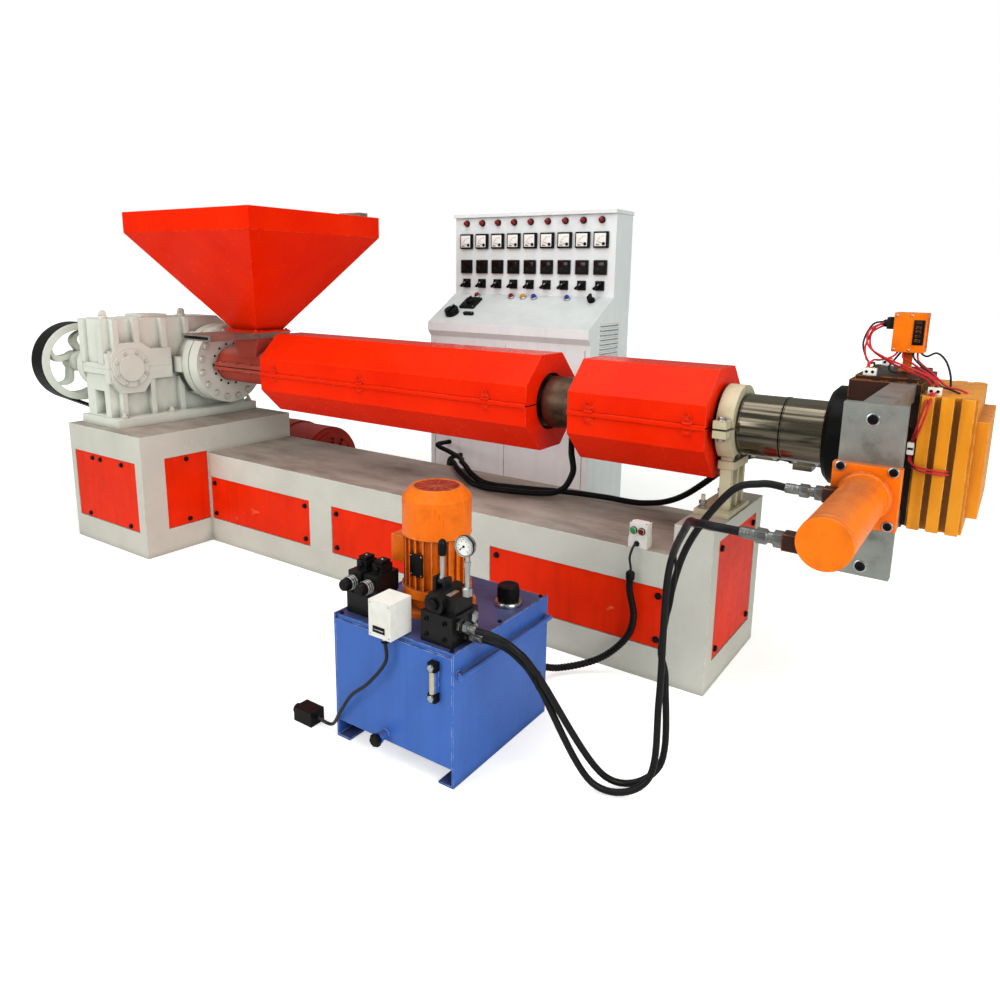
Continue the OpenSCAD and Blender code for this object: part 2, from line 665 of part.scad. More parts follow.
// hopper funnel, outside or inside shape
module funnel(gap, over) {
  z0 = hopper_foot - over;
  z1 = hopper_top - hopper_rim_h + over;
  h = hopper_top - hopper_rim_h - hopper_foot;
  kl = (hopper_l - neck_l) / 2 / h * over;
  kw = (hopper_w - neck_w) / 2 / h * over;
  bl = neck_l / 2 - kl - gap;
  bw = neck_w / 2 - kw - gap;
  tl = hopper_l / 2 + kl - gap;
  tw = hopper_w / 2 + kw - gap;
  polyhedron([[-bl, -bw, z0], [bl, -bw, z0], [bl, bw, z0], [-bl, bw, z0],
    [-tl, -tw, z1], [tl, -tw, z1], [tl, tw, z1], [-tl, tw, z1]],
    [[0, 1, 2, 3], [4, 5, 1, 0], [5, 6, 2, 1], [6, 7, 3, 2], [7, 4, 0, 3], [7, 6, 5, 4]]);
}

module hopper_cone() {
  color("#ed250a")
  difference() {
    union() {
      funnel(0, 0);
      box(-neck_l / 2 - 24, neck_l / 2 + 24, -neck_w / 2 - 24, neck_w / 2 + 24,
        hopper_foot - 9, hopper_foot);
    }
    funnel(hopper_t, 30);
  }
}

module hopper_rim() {
  z0 = hopper_top - hopper_rim_h;
  l = hopper_l / 2;
  w = hopper_w / 2;
  color("#ed250a")
  difference() {
    box(-l, l, -w, w, z0, hopper_top);
    box(-l + hopper_t, l - hopper_t, -w + hopper_t, w - hopper_t, z0 - 1, hopper_top + 1);
  }
}

module level_switch() {
  w = hopper_w / 2;
  color("#b9b9b4") {
    box(190, 330, w, w + 60, hopper_top - 60, hopper_top + 30);
    box(200, 320, w + 60, w + 66, hopper_top - 50, hopper_top + 20);
    rod_x(330, 352, w + 30, hopper_top - 10, 12);
  }
}

// saddles between the heater bands that carry the trays on the barrel
module guard_brackets() {
  color("#8f9293")
  for (x = [guard_1_x + 75 + band_pitch - band_gap / 2, guard_1_x + 75 + 4 * band_pitch - band_gap / 2,
      guard_2_x + guard_2_l / 2])
    along_x(x - 7, x + 7)
      difference() {
        polygon([[-60, axis_h - guard_w / 2 + guard_t], [60, axis_h - guard_w / 2 + guard_t],
          [48, axis_h - 40], [-48, axis_h - 40]]);
        translate([0, axis_h]) circle(r = barrel_r);
      }
}

// eight sided guard section round the barrel axis
module octagon(w) {
  h = w / 2;
  k = h * tan(22.5);
  translate([0, axis_h])
    polygon([[-h, -k], [-h, k], [-k, h], [k, h], [h, k], [h, -k], [k, -h], [-k, -h]]);
}

// tray or lid of a guard with its two end plates
module guard_half(x0, x1, up) {
  z0 = up ? axis_h + part_gap / 2 : axis_h - guard_w;
  z1 = up ? axis_h + guard_w : axis_h - part_gap / 2;
  intersection() {
    union() {
      along_x(x0, x1)
        difference() {
          octagon(guard_w);
          octagon(guard_w - 2 * guard_t);
        }
      for (x = [x0, x1 - guard_t])
        along_x(x, x + guard_t)
          difference() {
            octagon(guard_w);
            translate([0, axis_h]) circle(r = guard_hole_r);
          }
    }
    box(x0 - 1, x1 + 1, -guard_w, guard_w, z0, z1);
  }
}

// outer knuckles and pin, fixed to the tray
module hinge_fixed(x) {
  for (s = [-31, 11]) {
    rod_x(x + s, x + s + 20, hinge_y, axis_h, knuckle_r);
    box(x + s, x + s + 20, guard_w / 2 - 1, hinge_y, axis_h - 24, axis_h - part_gap / 2);
  }
  rod_x(x - 31, x + 31, hinge_y, axis_h, hinge_pin_r);
}

// middle knuckle, fixed to the lid
module hinge_moving(x) {
  difference() {
    union() {
      rod_x(x - 10, x + 10, hinge_y, axis_h, knuckle_r);
      box(x - 10, x + 10, guard_w / 2 - 1, hinge_y, axis_h + part_gap / 2, axis_h + 24);
    }
    rod_x(x - 11, x + 11, hinge_y, axis_h, hinge_pin_r + pin_play);
  }
}

// latch hook on the front of a lid
module latch_hook(x) {
  box(x - 16, x + 16, -guard_w / 2 - 4, -guard_w / 2 + 1, axis_h + 6, axis_h + 34);
  rod_x(x - 16, x + 16, -guard_w / 2 - 6, axis_h + 12, 5);
}

module latch_keeper(x) {
  box(x - 16, x + 16, -guard_w / 2 - 4, -guard_w / 2 + 1, axis_h - 30, axis_h - 8);
}

module guard_1_tray() {
  color("#e02509") {
    guard_half(guard_1_x, guard_1_x + guard_1_l, false);
    for (x = guard_1_hinges)
      hinge_fixed(x);
    for (x = guard_1_latches)
      latch_keeper(x);
  }
}

module guard_1_lid() {
  color("#ed250a") {
    guard_half(guard_1_x, guard_1_x + guard_1_l, true);
    for (x = guard_1_hinges)
      hinge_moving(x);
    for (x = guard_1_latches)
      latch_hook(x);
  }
}

module guard_2_tray() {
  color("#e02509") {
    guard_half(guard_2_x, guard_2_end, false);
    for (x = [guard_2_x + 100, guard_2_end - 100])
      hinge_fixed(x);
    for (x = [guard_2_x + 85, guard_2_end - 60])
      latch_keeper(x);
  }
}

module guard_2_lid() {
  color("#ed250a") {
    guard_half(guard_2_x, guard_2_end, true);
    for (x = [guard_2_x + 100, guard_2_end - 100])
      hinge_moving(x);
    for (x = [guard_2_x + 85, guard_2_end - 60])
      latch_hook(x);
  }
}

module support_stand() {
  leg_h = post_drop - 95 - 18;
  color("#d9d2b8") {
    box(bed_end + 6, post_end - 6, -110, 110, post_h, post_h + 18);
    for (y = [-62, 0, 62])
      box(clamp_x0 + 8, clamp_x1 - 8, y - 9, y + 9, post_h + 18, axis_h - 95);
    box(clamp_x0, clamp_x1, -74, 74, axis_h - 95 - 0.265 * leg_h, axis_h - 95 - 0.122 * leg_h);
  }
  color("#8f9293")
  for (y = [-92, 92])
    rod_z(post_h + 18, post_h + 66, bed_end + 30, y, 7);
}

module support_clamp() {
  color("#d9d2b8")
  difference() {
    union() {
      rod_x(clamp_x0, clamp_x1, 0, axis_h, 128);
      for (s = [-1, 1])
        box(clamp_x0 + 5, clamp_x1 - 5, min(s * 110, s * 168), max(s * 110, s * 168),
          axis_h - 28, axis_h + 28);
    }
    rod_x(clamp_x0 - 1, clamp_x1 + 1, 0, axis_h, barrel_r);
    // saddle cut for the stand
    box(clamp_x0 - 1, clamp_x1 + 1, -76, 76, axis_h - 150, axis_h - 95);
    // open joint at the side lugs
    for (s = [-1, 1])
      box(clamp_x0 - 1, clamp_x1 + 1, min(s * 104, s * 180), max(s * 104, s * 180),
        axis_h - 3, axis_h + 3);
  }
}

module end_heaters() {
  m = (head_x0 + head_x1) / 2;
  color("#b9b6b0")
  difference() {
    union() {
      rod_x(head_x0 + 2, m - 3, 0, axis_h, heater_r + 2);
      rod_x(m + 3, head_x1 - 2, 0, axis_h, heater_r + 2);
      rod_x(m - 3, m + 3, 0, axis_h, heater_r - 6);
      // terminal box behind and under the bands, with its cable gland
      box(head_x0 + 147, head_x0 + 207, 62, 122, axis_h - 145, axis_h - 68);
      rod_x(head_x0 + 129, head_x0 + 150, 95, axis_h - 118, 16);
      // clamp bars with screws under the bands
      for (x = [m - 66, m + 66])
        box(x - 45, x + 45, 10, 40, axis_h - heater_r - 16, axis_h - 60);
    }
    rod_x(head_x0 - 1, head_x1 + 1, 0, axis_h, barrel_r);
  }
}

module barrel_flange() {
  color("#1c1c1e") {
    translate([head_x1, 0, axis_h]) rotate([0, 90, 0])
      cylinder(h = 16, r1 = head_flange_r - 16, r2 = head_flange_r);
    rod_x(head_x1 + 16, flange_x1, 0, axis_h, head_flange_r);
  }
}

module changer_body() {
  w = changer_w;
  h = changer_h + heater_plate_t;
  t = slide_t / 2 + slide_play;
  slot_h = slide_h + 5 * slide_play;
  color("#b5621c")
  difference() {
    union() {
      box(flange_x1, changer_x1, -w, w, axis_h - changer_h, axis_h + changer_h);
      // heater plates on the top and the underside
      box(flange_x1 + 12, changer_x1 - 12, -w + 16, w - 16, axis_h - h, axis_h + h);
    }
    // slot of the screen slide in both sides of the body
    for (y = [-w - 1, w - 30])
      box(changer_x - t, changer_x + t, y, y + 31, axis_h - slot_h / 2, axis_h + slot_h / 2);
  }
}

module screen_slide() {
  w = changer_w;
  t = slide_t / 2;
  color("#8a8d8f") {
    box(changer_x - t, changer_x + t, -w - 120, -w + 30, axis_h - slide_h / 2, axis_h + slide_h / 2);
    rod_y(-plate_y + plate_t, -w - 115, changer_x, cyl_z, 22);
    box(changer_x - t, changer_x + t, w - 30, w + 90, axis_h - slide_h / 2, axis_h + slide_h / 2);
  }
}

module tie_bars() {
  color("#8a8d8f")
  for (z = [axis_h + changer_h - tie_h, axis_h - changer_h])
    box(changer_x - tie_w / 2, changer_x + tie_w / 2, -plate_y + plate_t, -changer_w, z, z + tie_h);
}

module cylinder_plate() {
  color("#8f9499")
  box(changer_x - plate_w / 2, changer_x + plate_w / 2, -plate_y, -plate_y + plate_t,
    axis_h - 6 - plate_h / 2, axis_h - 6 + plate_h / 2);
}

module hydraulic_cylinder() {
  f = cyl_flange_s / 2;
  y1 = -plate_y - cyl_flange_t;
  color("#ff7a0a") {
    box(changer_x - f, changer_x + f, y1, -plate_y, cyl_z - f, cyl_z + f);
    rod_y(y1 - 12, y1, changer_x, cyl_z, cyl_r + 6);
    rod_y(y1 - cyl_l, y1 - 12, changer_x, cyl_z, cyl_r);
  }
  color("#7a2f1c") {
    for (p = [[port_1_y, port_1_z], [port_2_y, port_2_z]])
      box(changer_x - cyl_r - 26, changer_x - cyl_r + 14, p[0] - 16, p[0] + 16, p[1] - 16, p[1] + 16);
  }
  color("#9c9fa0") {
    for (p = [[port_1_y, port_1_z], [port_2_y, port_2_z]])
      rod_x(port_x, changer_x - cyl_r - 26, p[0], p[1], 11);
  }
}

module die_head() {
  w = die_w;
  color("#e8901a")
  difference() {
    union() {
      box(changer_x1, die_x1 - 30, -w + 20, w - 20, axis_h - die_down, axis_h + die_up);
      box(die_x1 - 30, die_x1, -w + 40, w - 40, axis_h - die_down + 45, axis_h + die_up - 60);
      // upright heater channels on front and back
      for (s = [-1, 1], x = [changer_x1 + 6, changer_x1 + 52, changer_x1 + 98])
        box(x, x + 30, min(s * (w - 30), s * w), max(s * (w - 30), s * w),
          axis_h - die_down, axis_h + die_up);
    }
    // row of strand holes
    for (i = [0 : die_holes - 1])
      rod_x(die_x1 - 25, die_x1 + 1, (i - (die_holes - 1) / 2) * 26, axis_h - 40, 4);
  }
}

module die_junction_box() {
  z0 = axis_h + changer_h + heater_plate_t;
  color("#8a8d8f") {
    box(changer_x - 32, changer_x - 8, -6, 2, z0, z0 + 59);
    box(changer_x - 40, changer_x, -24, 20, z0, z0 + 8);
  }
  color("#f58220")
  difference() {
    box(changer_x - 62, changer_x + 22, -40, 36, z0 + 59, z0 + 170);
    box(changer_x + 18, changer_x + 23, -24, 20, z0 + 72, z0 + 157);
  }
}

module cabinet() {
  y0 = cab_y;
  color("#dfe3e8")
  difference() {
    union() {
      along_x(cab_x, cab_x + cab_l)
        polygon([[y0 + 26, 0], [y0 + cab_d, 0], [y0 + cab_d, cab_h], [cab_panel_y, cab_h],
          [cab_panel_y, panel_h], [y0, desk_h], [y0, desk_h - 45], [y0 + 26, desk_h - 75]]);
      box(cab_x - 4, cab_x + cab_l + 4, cab_panel_y - 14, y0 + cab_d + 4, cab_h - 18, cab_h);
    }
    // louvres in both ends
    for (s = [0, 1], k = [0 : 7])
      translate([cab_x + s * cab_l, y0 + 120, desk_h - 150 + 23 * k]) box(-6, 6, 0, 201, 0, 8);
    // door joints in the front
    for (x = [cab_x + 30, cab_x + cab_l / 2, cab_x + cab_l - 30])
      box(x - 2, x + 2, y0 + 20, y0 + 30, 90, desk_h - 100);
    box(cab_x + 30, cab_x + cab_l - 30, y0 + 20, y0 + 30, 88, 92);
  }
}

module panel_meters() {
  h = meter_s / 2;
  color("#1c1c1e")
  for (i = [0 : row_n - 1])
    translate([row_x0 + i * row_pitch, cab_panel_y, panel_h + 0.662 * panel_rise]) {
      box(-h, h, -14, 0, -h, h);
      box(-h + 6, h - 6, -18, -14, -h + 6, h - 6);
    }
}

module panel_controls() {
  h = control_s / 2;
  k = switch_s / 2;
  color("#222224")
  for (i = [0 : row_n - 1])
    translate([row_x0 + i * row_pitch, cab_panel_y, panel_h + 0.345 * panel_rise]) {
      box(-h, h, -12, 0, -h, h);
      box(-h + 6, h - 6, -15, -12, -h + 6, h - 6);
      // rotary switch below the controller
      translate([0, 0, -0.213 * panel_rise]) {
        box(-k, k, -8, 0, -k, k);
        rod_y(-18, -8, 0, 0, 0.7 * k);
        rotate([0, 30, 0]) box(-0.2 * k, 0.2 * k, -32, -18, -0.54 * k, 0.54 * k);
      }
    }
}

module panel_lamps() {
  color("#c4201a")
  for (i = [0 : row_n - 1])
    translate([row_x0 + i * row_pitch, cab_panel_y, panel_h + 0.888 * panel_rise]) {
      rod_y(-8, 0, 0, 0, lamp_r);
      rod_y(-20, -8, 0, 0, lamp_r - 4);
    }
}

// a spot on the sloping desk: across, and up the slope from its front edge
module on_desk(x, up) {
  translate([cab_x + x, cab_y, desk_h]) rotate([desk_a, 0, 0]) translate([0, up, 0]) children();
}

module desk_controls() {
  color("#1f1f21") {
    on_desk(0.175 * cab_l, 0.64 * desk_run) box(-48, 48, -48, 48, 0, 14);
    on_desk(0.113 * cab_l, 0.3 * desk_run) rod_z(0, 30, 0, 0, 38);
    on_desk(0.113 * cab_l, 0.3 * desk_run) box(-6, 6, -34, 34, 30, 40);
    on_desk(0.227 * cab_l, 0.29 * desk_run) box(-30, 30, -8, 8, 0, 16);
    on_desk(0.895 * cab_l, 0.86 * desk_run) rod_z(0, 14, 0, 0, 18);
    on_desk(0.895 * cab_l, 0.86 * desk_run) box(-6, 6, -30, 6, 14, 44);
  }
  for (b = [[0.171, "#8f1d18"], [0.399, "#8f1d18"], [0.474, "#d9b021"], [0.544, "#2a5fb0"],
    [0.747, "#2a5fb0"]])
    color(b[1]) on_desk(b[0] * cab_l, 0.9 * desk_run) {
      rod_z(0, 8, 0, 0, 17);
      rod_z(8, 18, 0, 0, 12);
    }
}

module oil_tank() {
  color("#3d6fd0") {
    box(tank_x + 6, tank_x1 - 6, -tank_y, tank_back, tank_leg, tank_h - 12);
    // drain stub and oil level gauge in the front
    rod_y(-tank_y - 24, -tank_y, tank_x + 190, tank_leg + 20, 13);
    rod_y(-tank_y - 34, -tank_y - 24, tank_x + 190, tank_leg + 20, 16);
    box(tank_x + 360, tank_x + 380, -tank_y - 14, -tank_y, 244, 346);
    // cable gland in the back
    rod_y(tank_back, tank_back + 12, gland_x, 82, 17);
  }
  color("#1e2a4a")
  box(tank_x + 6, tank_x1 - 6, -tank_y + 6, tank_back - 6, tank_h - 12, tank_h);
}

module tank_ends() {
  color("#3d6fd0") {
    for (s = [0, 1]) {
      x = s == 0 ? tank_x : tank_x1 - 6;
      box(x, x + 6, -tank_y, tank_back, 0, tank_h + 3);
      // feet bent in under the tank
      for (y = [-tank_y, tank_back - 70])
        box(s == 0 ? x : x - 44, s == 0 ? x + 50 : x + 6, y, y + 70, 0, 6);
    }
    // carrying bar along the right end
    for (y = [-tank_y + 12, tank_back - 30])
      box(tank_x1, tank_x1 + 16, y, y + 14, 314, 330);
    rod_y(-tank_y + 8, tank_back - 12, tank_x1 + 16, 322, 8);
  }
}

module pump_motor() {
  x = tank_x + 196;
  y = -tank_y + 221;
  r = pump_r;
  color("#f58220") {
    rod_z(tank_h, tank_h + 16, x, y, r + 14);
    rod_z(tank_h + 16, tank_h + 50, x, y, r - 22);
    rod_z(tank_h + 50, tank_h + 76, x, y, r + 2);
    rod_z(tank_h + 76, pump_top - 130, x, y, r - 14);
    rod_z(pump_top - 137, pump_top - 30, x, y, r);
    // fan cowl with a sloped shoulder and a sunk grille
    difference() {
      translate([x, y, pump_top - 30]) cylinder(h = 30, r1 = r, r2 = r - 26);
      rod_z(pump_top - 6, pump_top + 1, x, y, r - 34);
    }
    for (a = [0 : 15 : 345])
      translate([x, y, 0]) rotate([0, 0, a]) box(r - 22, r - 3, -2, 2, tank_h + 70, pump_top - 132);
    // terminal box on the left
    box(x - r - 40, x - r + 20, y - 40, y + 40, tank_h + 120, tank_h + 200);
  }
}

module lever_valve() {
  x0 = tank_x + 302;
  x1 = tank_x + 406;
  y0 = -tank_y + 22;
  color("#232326") {
    box(x0, x1, y0, y0 + 112, tank_h, tank_h + 84);
    // valve body with a rounded end on top
    box(x0 + 10, x1 - 6, y0 + 20, y0 + 96, tank_h + 84, tank_h + 128);
    rod_y(y0 + 4, y0 + 110, x0 + 40, tank_h + 108, 30);
    // fork that carries the lever
    for (s = [-1, 1])
      box(lever_x + s * 16 - 5, lever_x + s * 16 + 5, lever_y - 14, lever_y + 14, tank_h + 120, lever_z + 12);
    rod_x(lever_x - 21, lever_x + 21, lever_y, lever_z, 5);
  }
  color("#9c9fa0") {
    rod_x(x1, x1 + 18, hose_up_pts[0][1], hose_up_pts[0][2], 15);
    rod_x(x1, hose_x, hose_up_pts[0][1], hose_up_pts[0][2], 11);
    rod_x(x1, x1 + 18, hose_low_pts[0][1], hose_low_pts[0][2], 15);
    rod_x(x1, hose_x, hose_low_pts[0][1], hose_low_pts[0][2], 11);
  }
}

module valve_lever() {
  color("#232326") {
    difference() {
      union() {
        rod_x(lever_x - 9, lever_x + 9, lever_y, lever_z, 11);
        rod_z(lever_z + 8, lever_z + 84, lever_x, lever_y, 6);
      }
      rod_x(lever_x - 10, lever_x + 10, lever_y, lever_z, 5 + pin_play);
    }
    rod_z(lever_z + 80, lever_z + 104, lever_x, lever_y, 11);
    translate([lever_x, lever_y, lever_z + 104]) sphere(r = 11);
  }
}

module solenoid_valves() {
  y0 = -tank_y + 35;
  color("#3a3a3d") {
    box(tank_x + 18, tank_x + 126, y0, y0 + 92, tank_h, tank_h + 62);
    for (x = [tank_x + 42, tank_x + 102]) {
      box(x - 24, x + 24, y0 + 8, y0 + 98, tank_h + 62, tank_h + 122);
      rod_y(y0 - 20, y0 + 8, x, tank_h + 94, 19);
      rod_y(y0 - 38, y0 - 20, x, tank_h + 94, 15);
      box(x - 18, x + 18, y0 + 36, y0 + 80, tank_h + 122, tank_h + 146);
    }
  }
}

module pressure_gauge() {
  x = tank_x + 388;
  y = -tank_y + 89;
  z = tank_h + 262;
  color("#b4b6b6") {
    rod_z(tank_h + 128, z - 30, x, y, 8);
    rod_z(tank_h + 128, tank_h + 150, x, y, 12);
    rod_y(y - 16, y + 16, x, z, 34);
    rod_y(y - 20, y - 16, x, z, 31);
  }
}

module filler_cap() {
  color("#1f1f21") {
    rod_z(tank_h, tank_h + 12, tank_x1 - 66, tank_back - 116, 38);
    rod_z(tank_h + 12, tank_h + 58, tank_x1 - 66, tank_back - 116, 31);
  }
}

module tank_junction_box() {
  y0 = -tank_y - 44;
  color("#e6e6e2") {
    box(tank_x + 178, tank_x + 256, y0, y0 + 82, tank_h + 4, tank_h + 106);
    box(tank_x + 184, tank_x + 250, y0 + 52, y0 + 82, tank_h, tank_h + 4);
    rod_z(tank_h - 14, tank_h + 4, tank_x + 217, y0 + 20, 8);
  }
}

// push button box that stands on the front edge of the bed
module pendant_box() {
  x = pendant_x;
  y = pendant_y;
  color("#222224") box(x - 32, x + 34, y, y + 44, bed_h, bed_h + 36);
  color("#e6e6e2") box(x - 30, x + 32, y + 2, y + 42, bed_h + 36, bed_h + 85);
  for (b = [[-14, "#2a8a45"], [15, "#b3231a"]])
    color(b[1]) rod_y(y - 6, y + 2, x + b[0], bed_h + 60, 10);
}

module hose_upper() {
  color("#161617") cord(hose_up_pts, 2, 9);
}

module hose_lower() {
  color("#161617") cord(hose_low_pts, 2, 9);
}

module pendant_lead() {
  color("#19191a") cord(lead_pts, 1, 4);
}

module pendant_conduit() {
  color("#2a2a2b") cord(pendant_pts, 1, 12.5);
}

module heater_conduit() {
  color("#19191a") cord(heater_pts, 1, 12.5);
}

module gap_conduit() {
  color("#19191a") cord(gap_pts, 1, 12.5);
}

module tank_cable() {
  color("#19191a") cord(tank_cable_pts, 1, 5);
}

// plug of the thin cable, on the floor
module cable_plug() {
  color("#1f1f21") {
    box(plug_x - 74, plug_x, plug_y - 26, plug_y + 26, 0, 44);
    rod_x(plug_x - 90, plug_x - 74, plug_y, 22, 15);
  }
}

gearbox_pedestal();
bed();
end_pedestal();
access_panels();
gearbox_lower_case();
gearbox_upper_case();
bearing_caps();
output_flange();
drive_pulley();
drive_belts();
motor_pulley();
main_motor();
barrel();
barrel_heaters();
feed_section();
slide_gate();
hopper_cone();
hopper_rim();
level_switch();
guard_brackets();
guard_1_tray();
guard_1_lid();
guard_2_tray();
guard_2_lid();
support_stand();
support_clamp();
end_heaters();
barrel_flange();
changer_body();
screen_slide();
tie_bars();
cylinder_plate();
hydraulic_cylinder();
die_head();
die_junction_box();
cabinet();
panel_meters();
panel_controls();
panel_lamps();
desk_controls();
oil_tank();
tank_ends();
pump_motor();
lever_valve();
valve_lever();
solenoid_valves();
pressure_gauge();
filler_cap();
tank_junction_box();
pendant_box();
hose_upper();
hose_lower();
pendant_lead();
pendant_conduit();
heater_conduit();
gap_conduit();
tank_cable();
cable_plug();
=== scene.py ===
"""Looks of a plastic pelletizing machine: paint, metal, rubber and small fittings over its CAD frame.

The CAD frame is in metres: +X along the barrel to the die, +Y to the back, +Z up, floor at z = 0.
Fittings are built in millimetres, and piece() turns them into metres.
"""
import math

import bmesh
import bpy
from mathutils import Matrix, Vector


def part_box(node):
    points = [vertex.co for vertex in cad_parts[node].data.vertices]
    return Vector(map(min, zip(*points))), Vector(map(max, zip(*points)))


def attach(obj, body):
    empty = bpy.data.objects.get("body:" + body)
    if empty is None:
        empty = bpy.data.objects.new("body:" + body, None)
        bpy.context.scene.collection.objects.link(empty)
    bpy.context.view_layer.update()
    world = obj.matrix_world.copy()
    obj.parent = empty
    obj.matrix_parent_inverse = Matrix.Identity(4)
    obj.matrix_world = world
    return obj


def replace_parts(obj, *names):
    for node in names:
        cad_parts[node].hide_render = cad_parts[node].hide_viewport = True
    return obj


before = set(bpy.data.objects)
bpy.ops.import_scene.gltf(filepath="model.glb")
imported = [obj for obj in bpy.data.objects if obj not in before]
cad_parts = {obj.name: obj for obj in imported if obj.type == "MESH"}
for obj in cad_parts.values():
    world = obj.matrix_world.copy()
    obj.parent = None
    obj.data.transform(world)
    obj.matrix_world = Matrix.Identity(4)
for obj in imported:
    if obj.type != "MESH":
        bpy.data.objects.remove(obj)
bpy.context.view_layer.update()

MACHINE = "machine"

# Directions that fittings face.
LEFT, RIGHT = Vector((-1, 0, 0)), Vector((1, 0, 0))
FRONT, BACK = Vector((0, -1, 0)), Vector((0, 1, 0))
DOWN, UP = Vector((0, 0, -1)), Vector((0, 0, 1))

# One millimetre in the frame's metres.
MM = 0.001

# Places, in millimetres, that the fittings share with the CAD solids.
AXIS_Z = 860
GUARD_FRONT = -184
LATCHES = {"guard_1_lid": (326.6, 870.5, 1521.7), "guard_2_lid": (1958, 2312)}
FLANGE_FACE = Vector((-228, 0, AXIS_Z))
BEARING_CAP = Vector((-394, -440, AXIS_Z))
PLATE_Y, CHANGER_X, CYLINDER_Z = -640, 2916, 848
PUMP = Vector((1845, -868, 0))
GAUGE = Vector((2054, -1016, 646))
FILLER = Vector((2011, -743, 381))
LEVER = Vector((1979, -1011, 533))
ROW_X, ROW_PITCH, ROW_COUNT, PANEL_Y = 505, 105, 9, 1058
LAMP_Z, METER_Z, CONTROLLER_Z, SWITCH_Z = 1607, 1510, 1374, 1282.6
DESK_CORNER, DESK_SLOPE, DESK_RUN = Vector((425, 804, 1073)), math.radians(31.06), 296.5
MOTOR_END = Vector((-70, 540, 250))

# The place of the photograph's camera, in metres, and the turns of its view.
EYE = Vector((3.181, -2.512, 1.322))
YAW, PITCH, ROLL = -0.5925, -0.2024, 0.0155


def set_camera():
    """Stands where the photograph was taken from, with its lens and its crop."""
    look = Vector((math.sin(YAW) * math.cos(PITCH), math.cos(YAW) * math.cos(PITCH), math.sin(PITCH)))
    level = Vector((math.cos(YAW), -math.sin(YAW), 0))
    rise = level.cross(look)
    right = level * math.cos(ROLL) + rise * math.sin(ROLL)
    up = rise * math.cos(ROLL) - level * math.sin(ROLL)
    camera = bpy.data.objects.new("photo_camera", bpy.data.cameras.new("photo_camera"))
    camera.data.sensor_width = 36
    camera.data.lens = 27.78
    camera.data.shift_x = -0.0049
    camera.data.shift_y = -0.0651
    camera.data.clip_end = 60
    camera.matrix_world = Matrix((
        (right.x, up.x, -look.x, EYE.x),
        (right.y, up.y, -look.y, EYE.y),
        (right.z, up.z, -look.z, EYE.z),
        (0, 0, 0, 1)))
    bpy.context.scene.collection.objects.link(camera)
    bpy.context.scene.camera = camera


set_camera()


# SHADERS

def linear(hex_colour):
    """sRGB hex to the linear colour that shaders take."""
    parts = [int(hex_colour[i:i + 2], 16) / 255 for i in (1, 3, 5)]
    return tuple(v / 12.92 if v <= 0.04045 else ((v + 0.055) / 1.055) ** 2.4 for v in parts) + (1.0,)


def add(tree, kind, settings=None, links=None):
    """Adds a node. Settings are its properties or unlinked inputs, links are outputs that feed its inputs."""
    made = tree.nodes.new(kind)
    for key, value in (settings or {}).items():
        if isinstance(key, str) and hasattr(made, key):
            setattr(made, key, value)
        else:
            made.inputs[key].default_value = value
    for key, source in (links or {}).items():
        tree.links.new(source, made.inputs[key])
    return made


def per_mm(size):
    """Texture scale at which one cell of a pattern is this many millimetres wide."""
    return 1000.0 / size


def new_material(name):
    """A material with its shader and output, and the object's own coordinates."""
    material = bpy.data.materials.new(name)
    material.use_nodes = True
    tree = material.node_tree
    tree.nodes.clear()
    shader = add(tree, "ShaderNodeBsdfPrincipled")
    add(tree, "ShaderNodeOutputMaterial", links={"Surface": shader.outputs[0]})
    place = add(tree, "ShaderNodeTexCoord").outputs["Object"]
    return material, tree, shader, place


def spread(tree, source, low, high, out_low=0.0, out_high=1.0):
    """Stretches a value between two limits, clamped."""
    return add(tree, "ShaderNodeMapRange", {
        "From Min": low, "From Max": high, "To Min": out_low, "To Max": out_high},
        {"Value": source}).outputs["Result"]


def times(tree, a, b):
    """Product of two values."""
    return add(tree, "ShaderNodeMath", {"operation": "MULTIPLY"}, {0: a, 1: b}).outputs[0]


def noise(tree, place, cell_mm, detail=3, turn=(0, 0, 0)):
    """Cloudy pattern whose cells have this size, one number or one for each direction."""
    cell = (cell_mm,) * 3 if isinstance(cell_mm, (int, float)) else cell_mm
    stretch = add(tree, "ShaderNodeMapping", {"Scale": tuple(per_mm(c) for c in cell), "Rotation": turn},
                  {"Vector": place})
    return add(tree, "ShaderNodeTexNoise", {"Scale": 1.0, "Detail": detail, "Roughness": 0.6},
               {"Vector": stretch.outputs[0]}).outputs["Fac"]


def blend_colours(tree, factor, a, b):
    """Mixes two colours; each is a hex value or another node's colour."""
    mix = add(tree, "ShaderNodeMix", {"data_type": "RGBA"}, {0: factor})
    for socket, value in ((6, a), (7, b)):
        if isinstance(value, str):
            mix.inputs[socket].default_value = linear(value)
        else:
            tree.links.new(value, mix.inputs[socket])
    return mix.outputs[2]


def rounded(tree, radius_mm):
    """Normals that round off sharp edges."""
    return add(tree, "ShaderNodeBevel", {"Radius": radius_mm * MM, "samples": 4}).outputs[0]


def finish(tree, shader, colour, roughness, strength, depth_mm, height, normal):
    """Links colour, roughness and a bumpy skin to a material's shader."""
    bump = add(tree, "ShaderNodeBump", {"Strength": strength, "Distance": depth_mm * MM},
               {"Height": height, "Normal": normal})
    for socket, source in (("Base Color", colour), ("Roughness", roughness), ("Normal", bump.outputs[0])):
        tree.links.new(source, shader.inputs[socket])


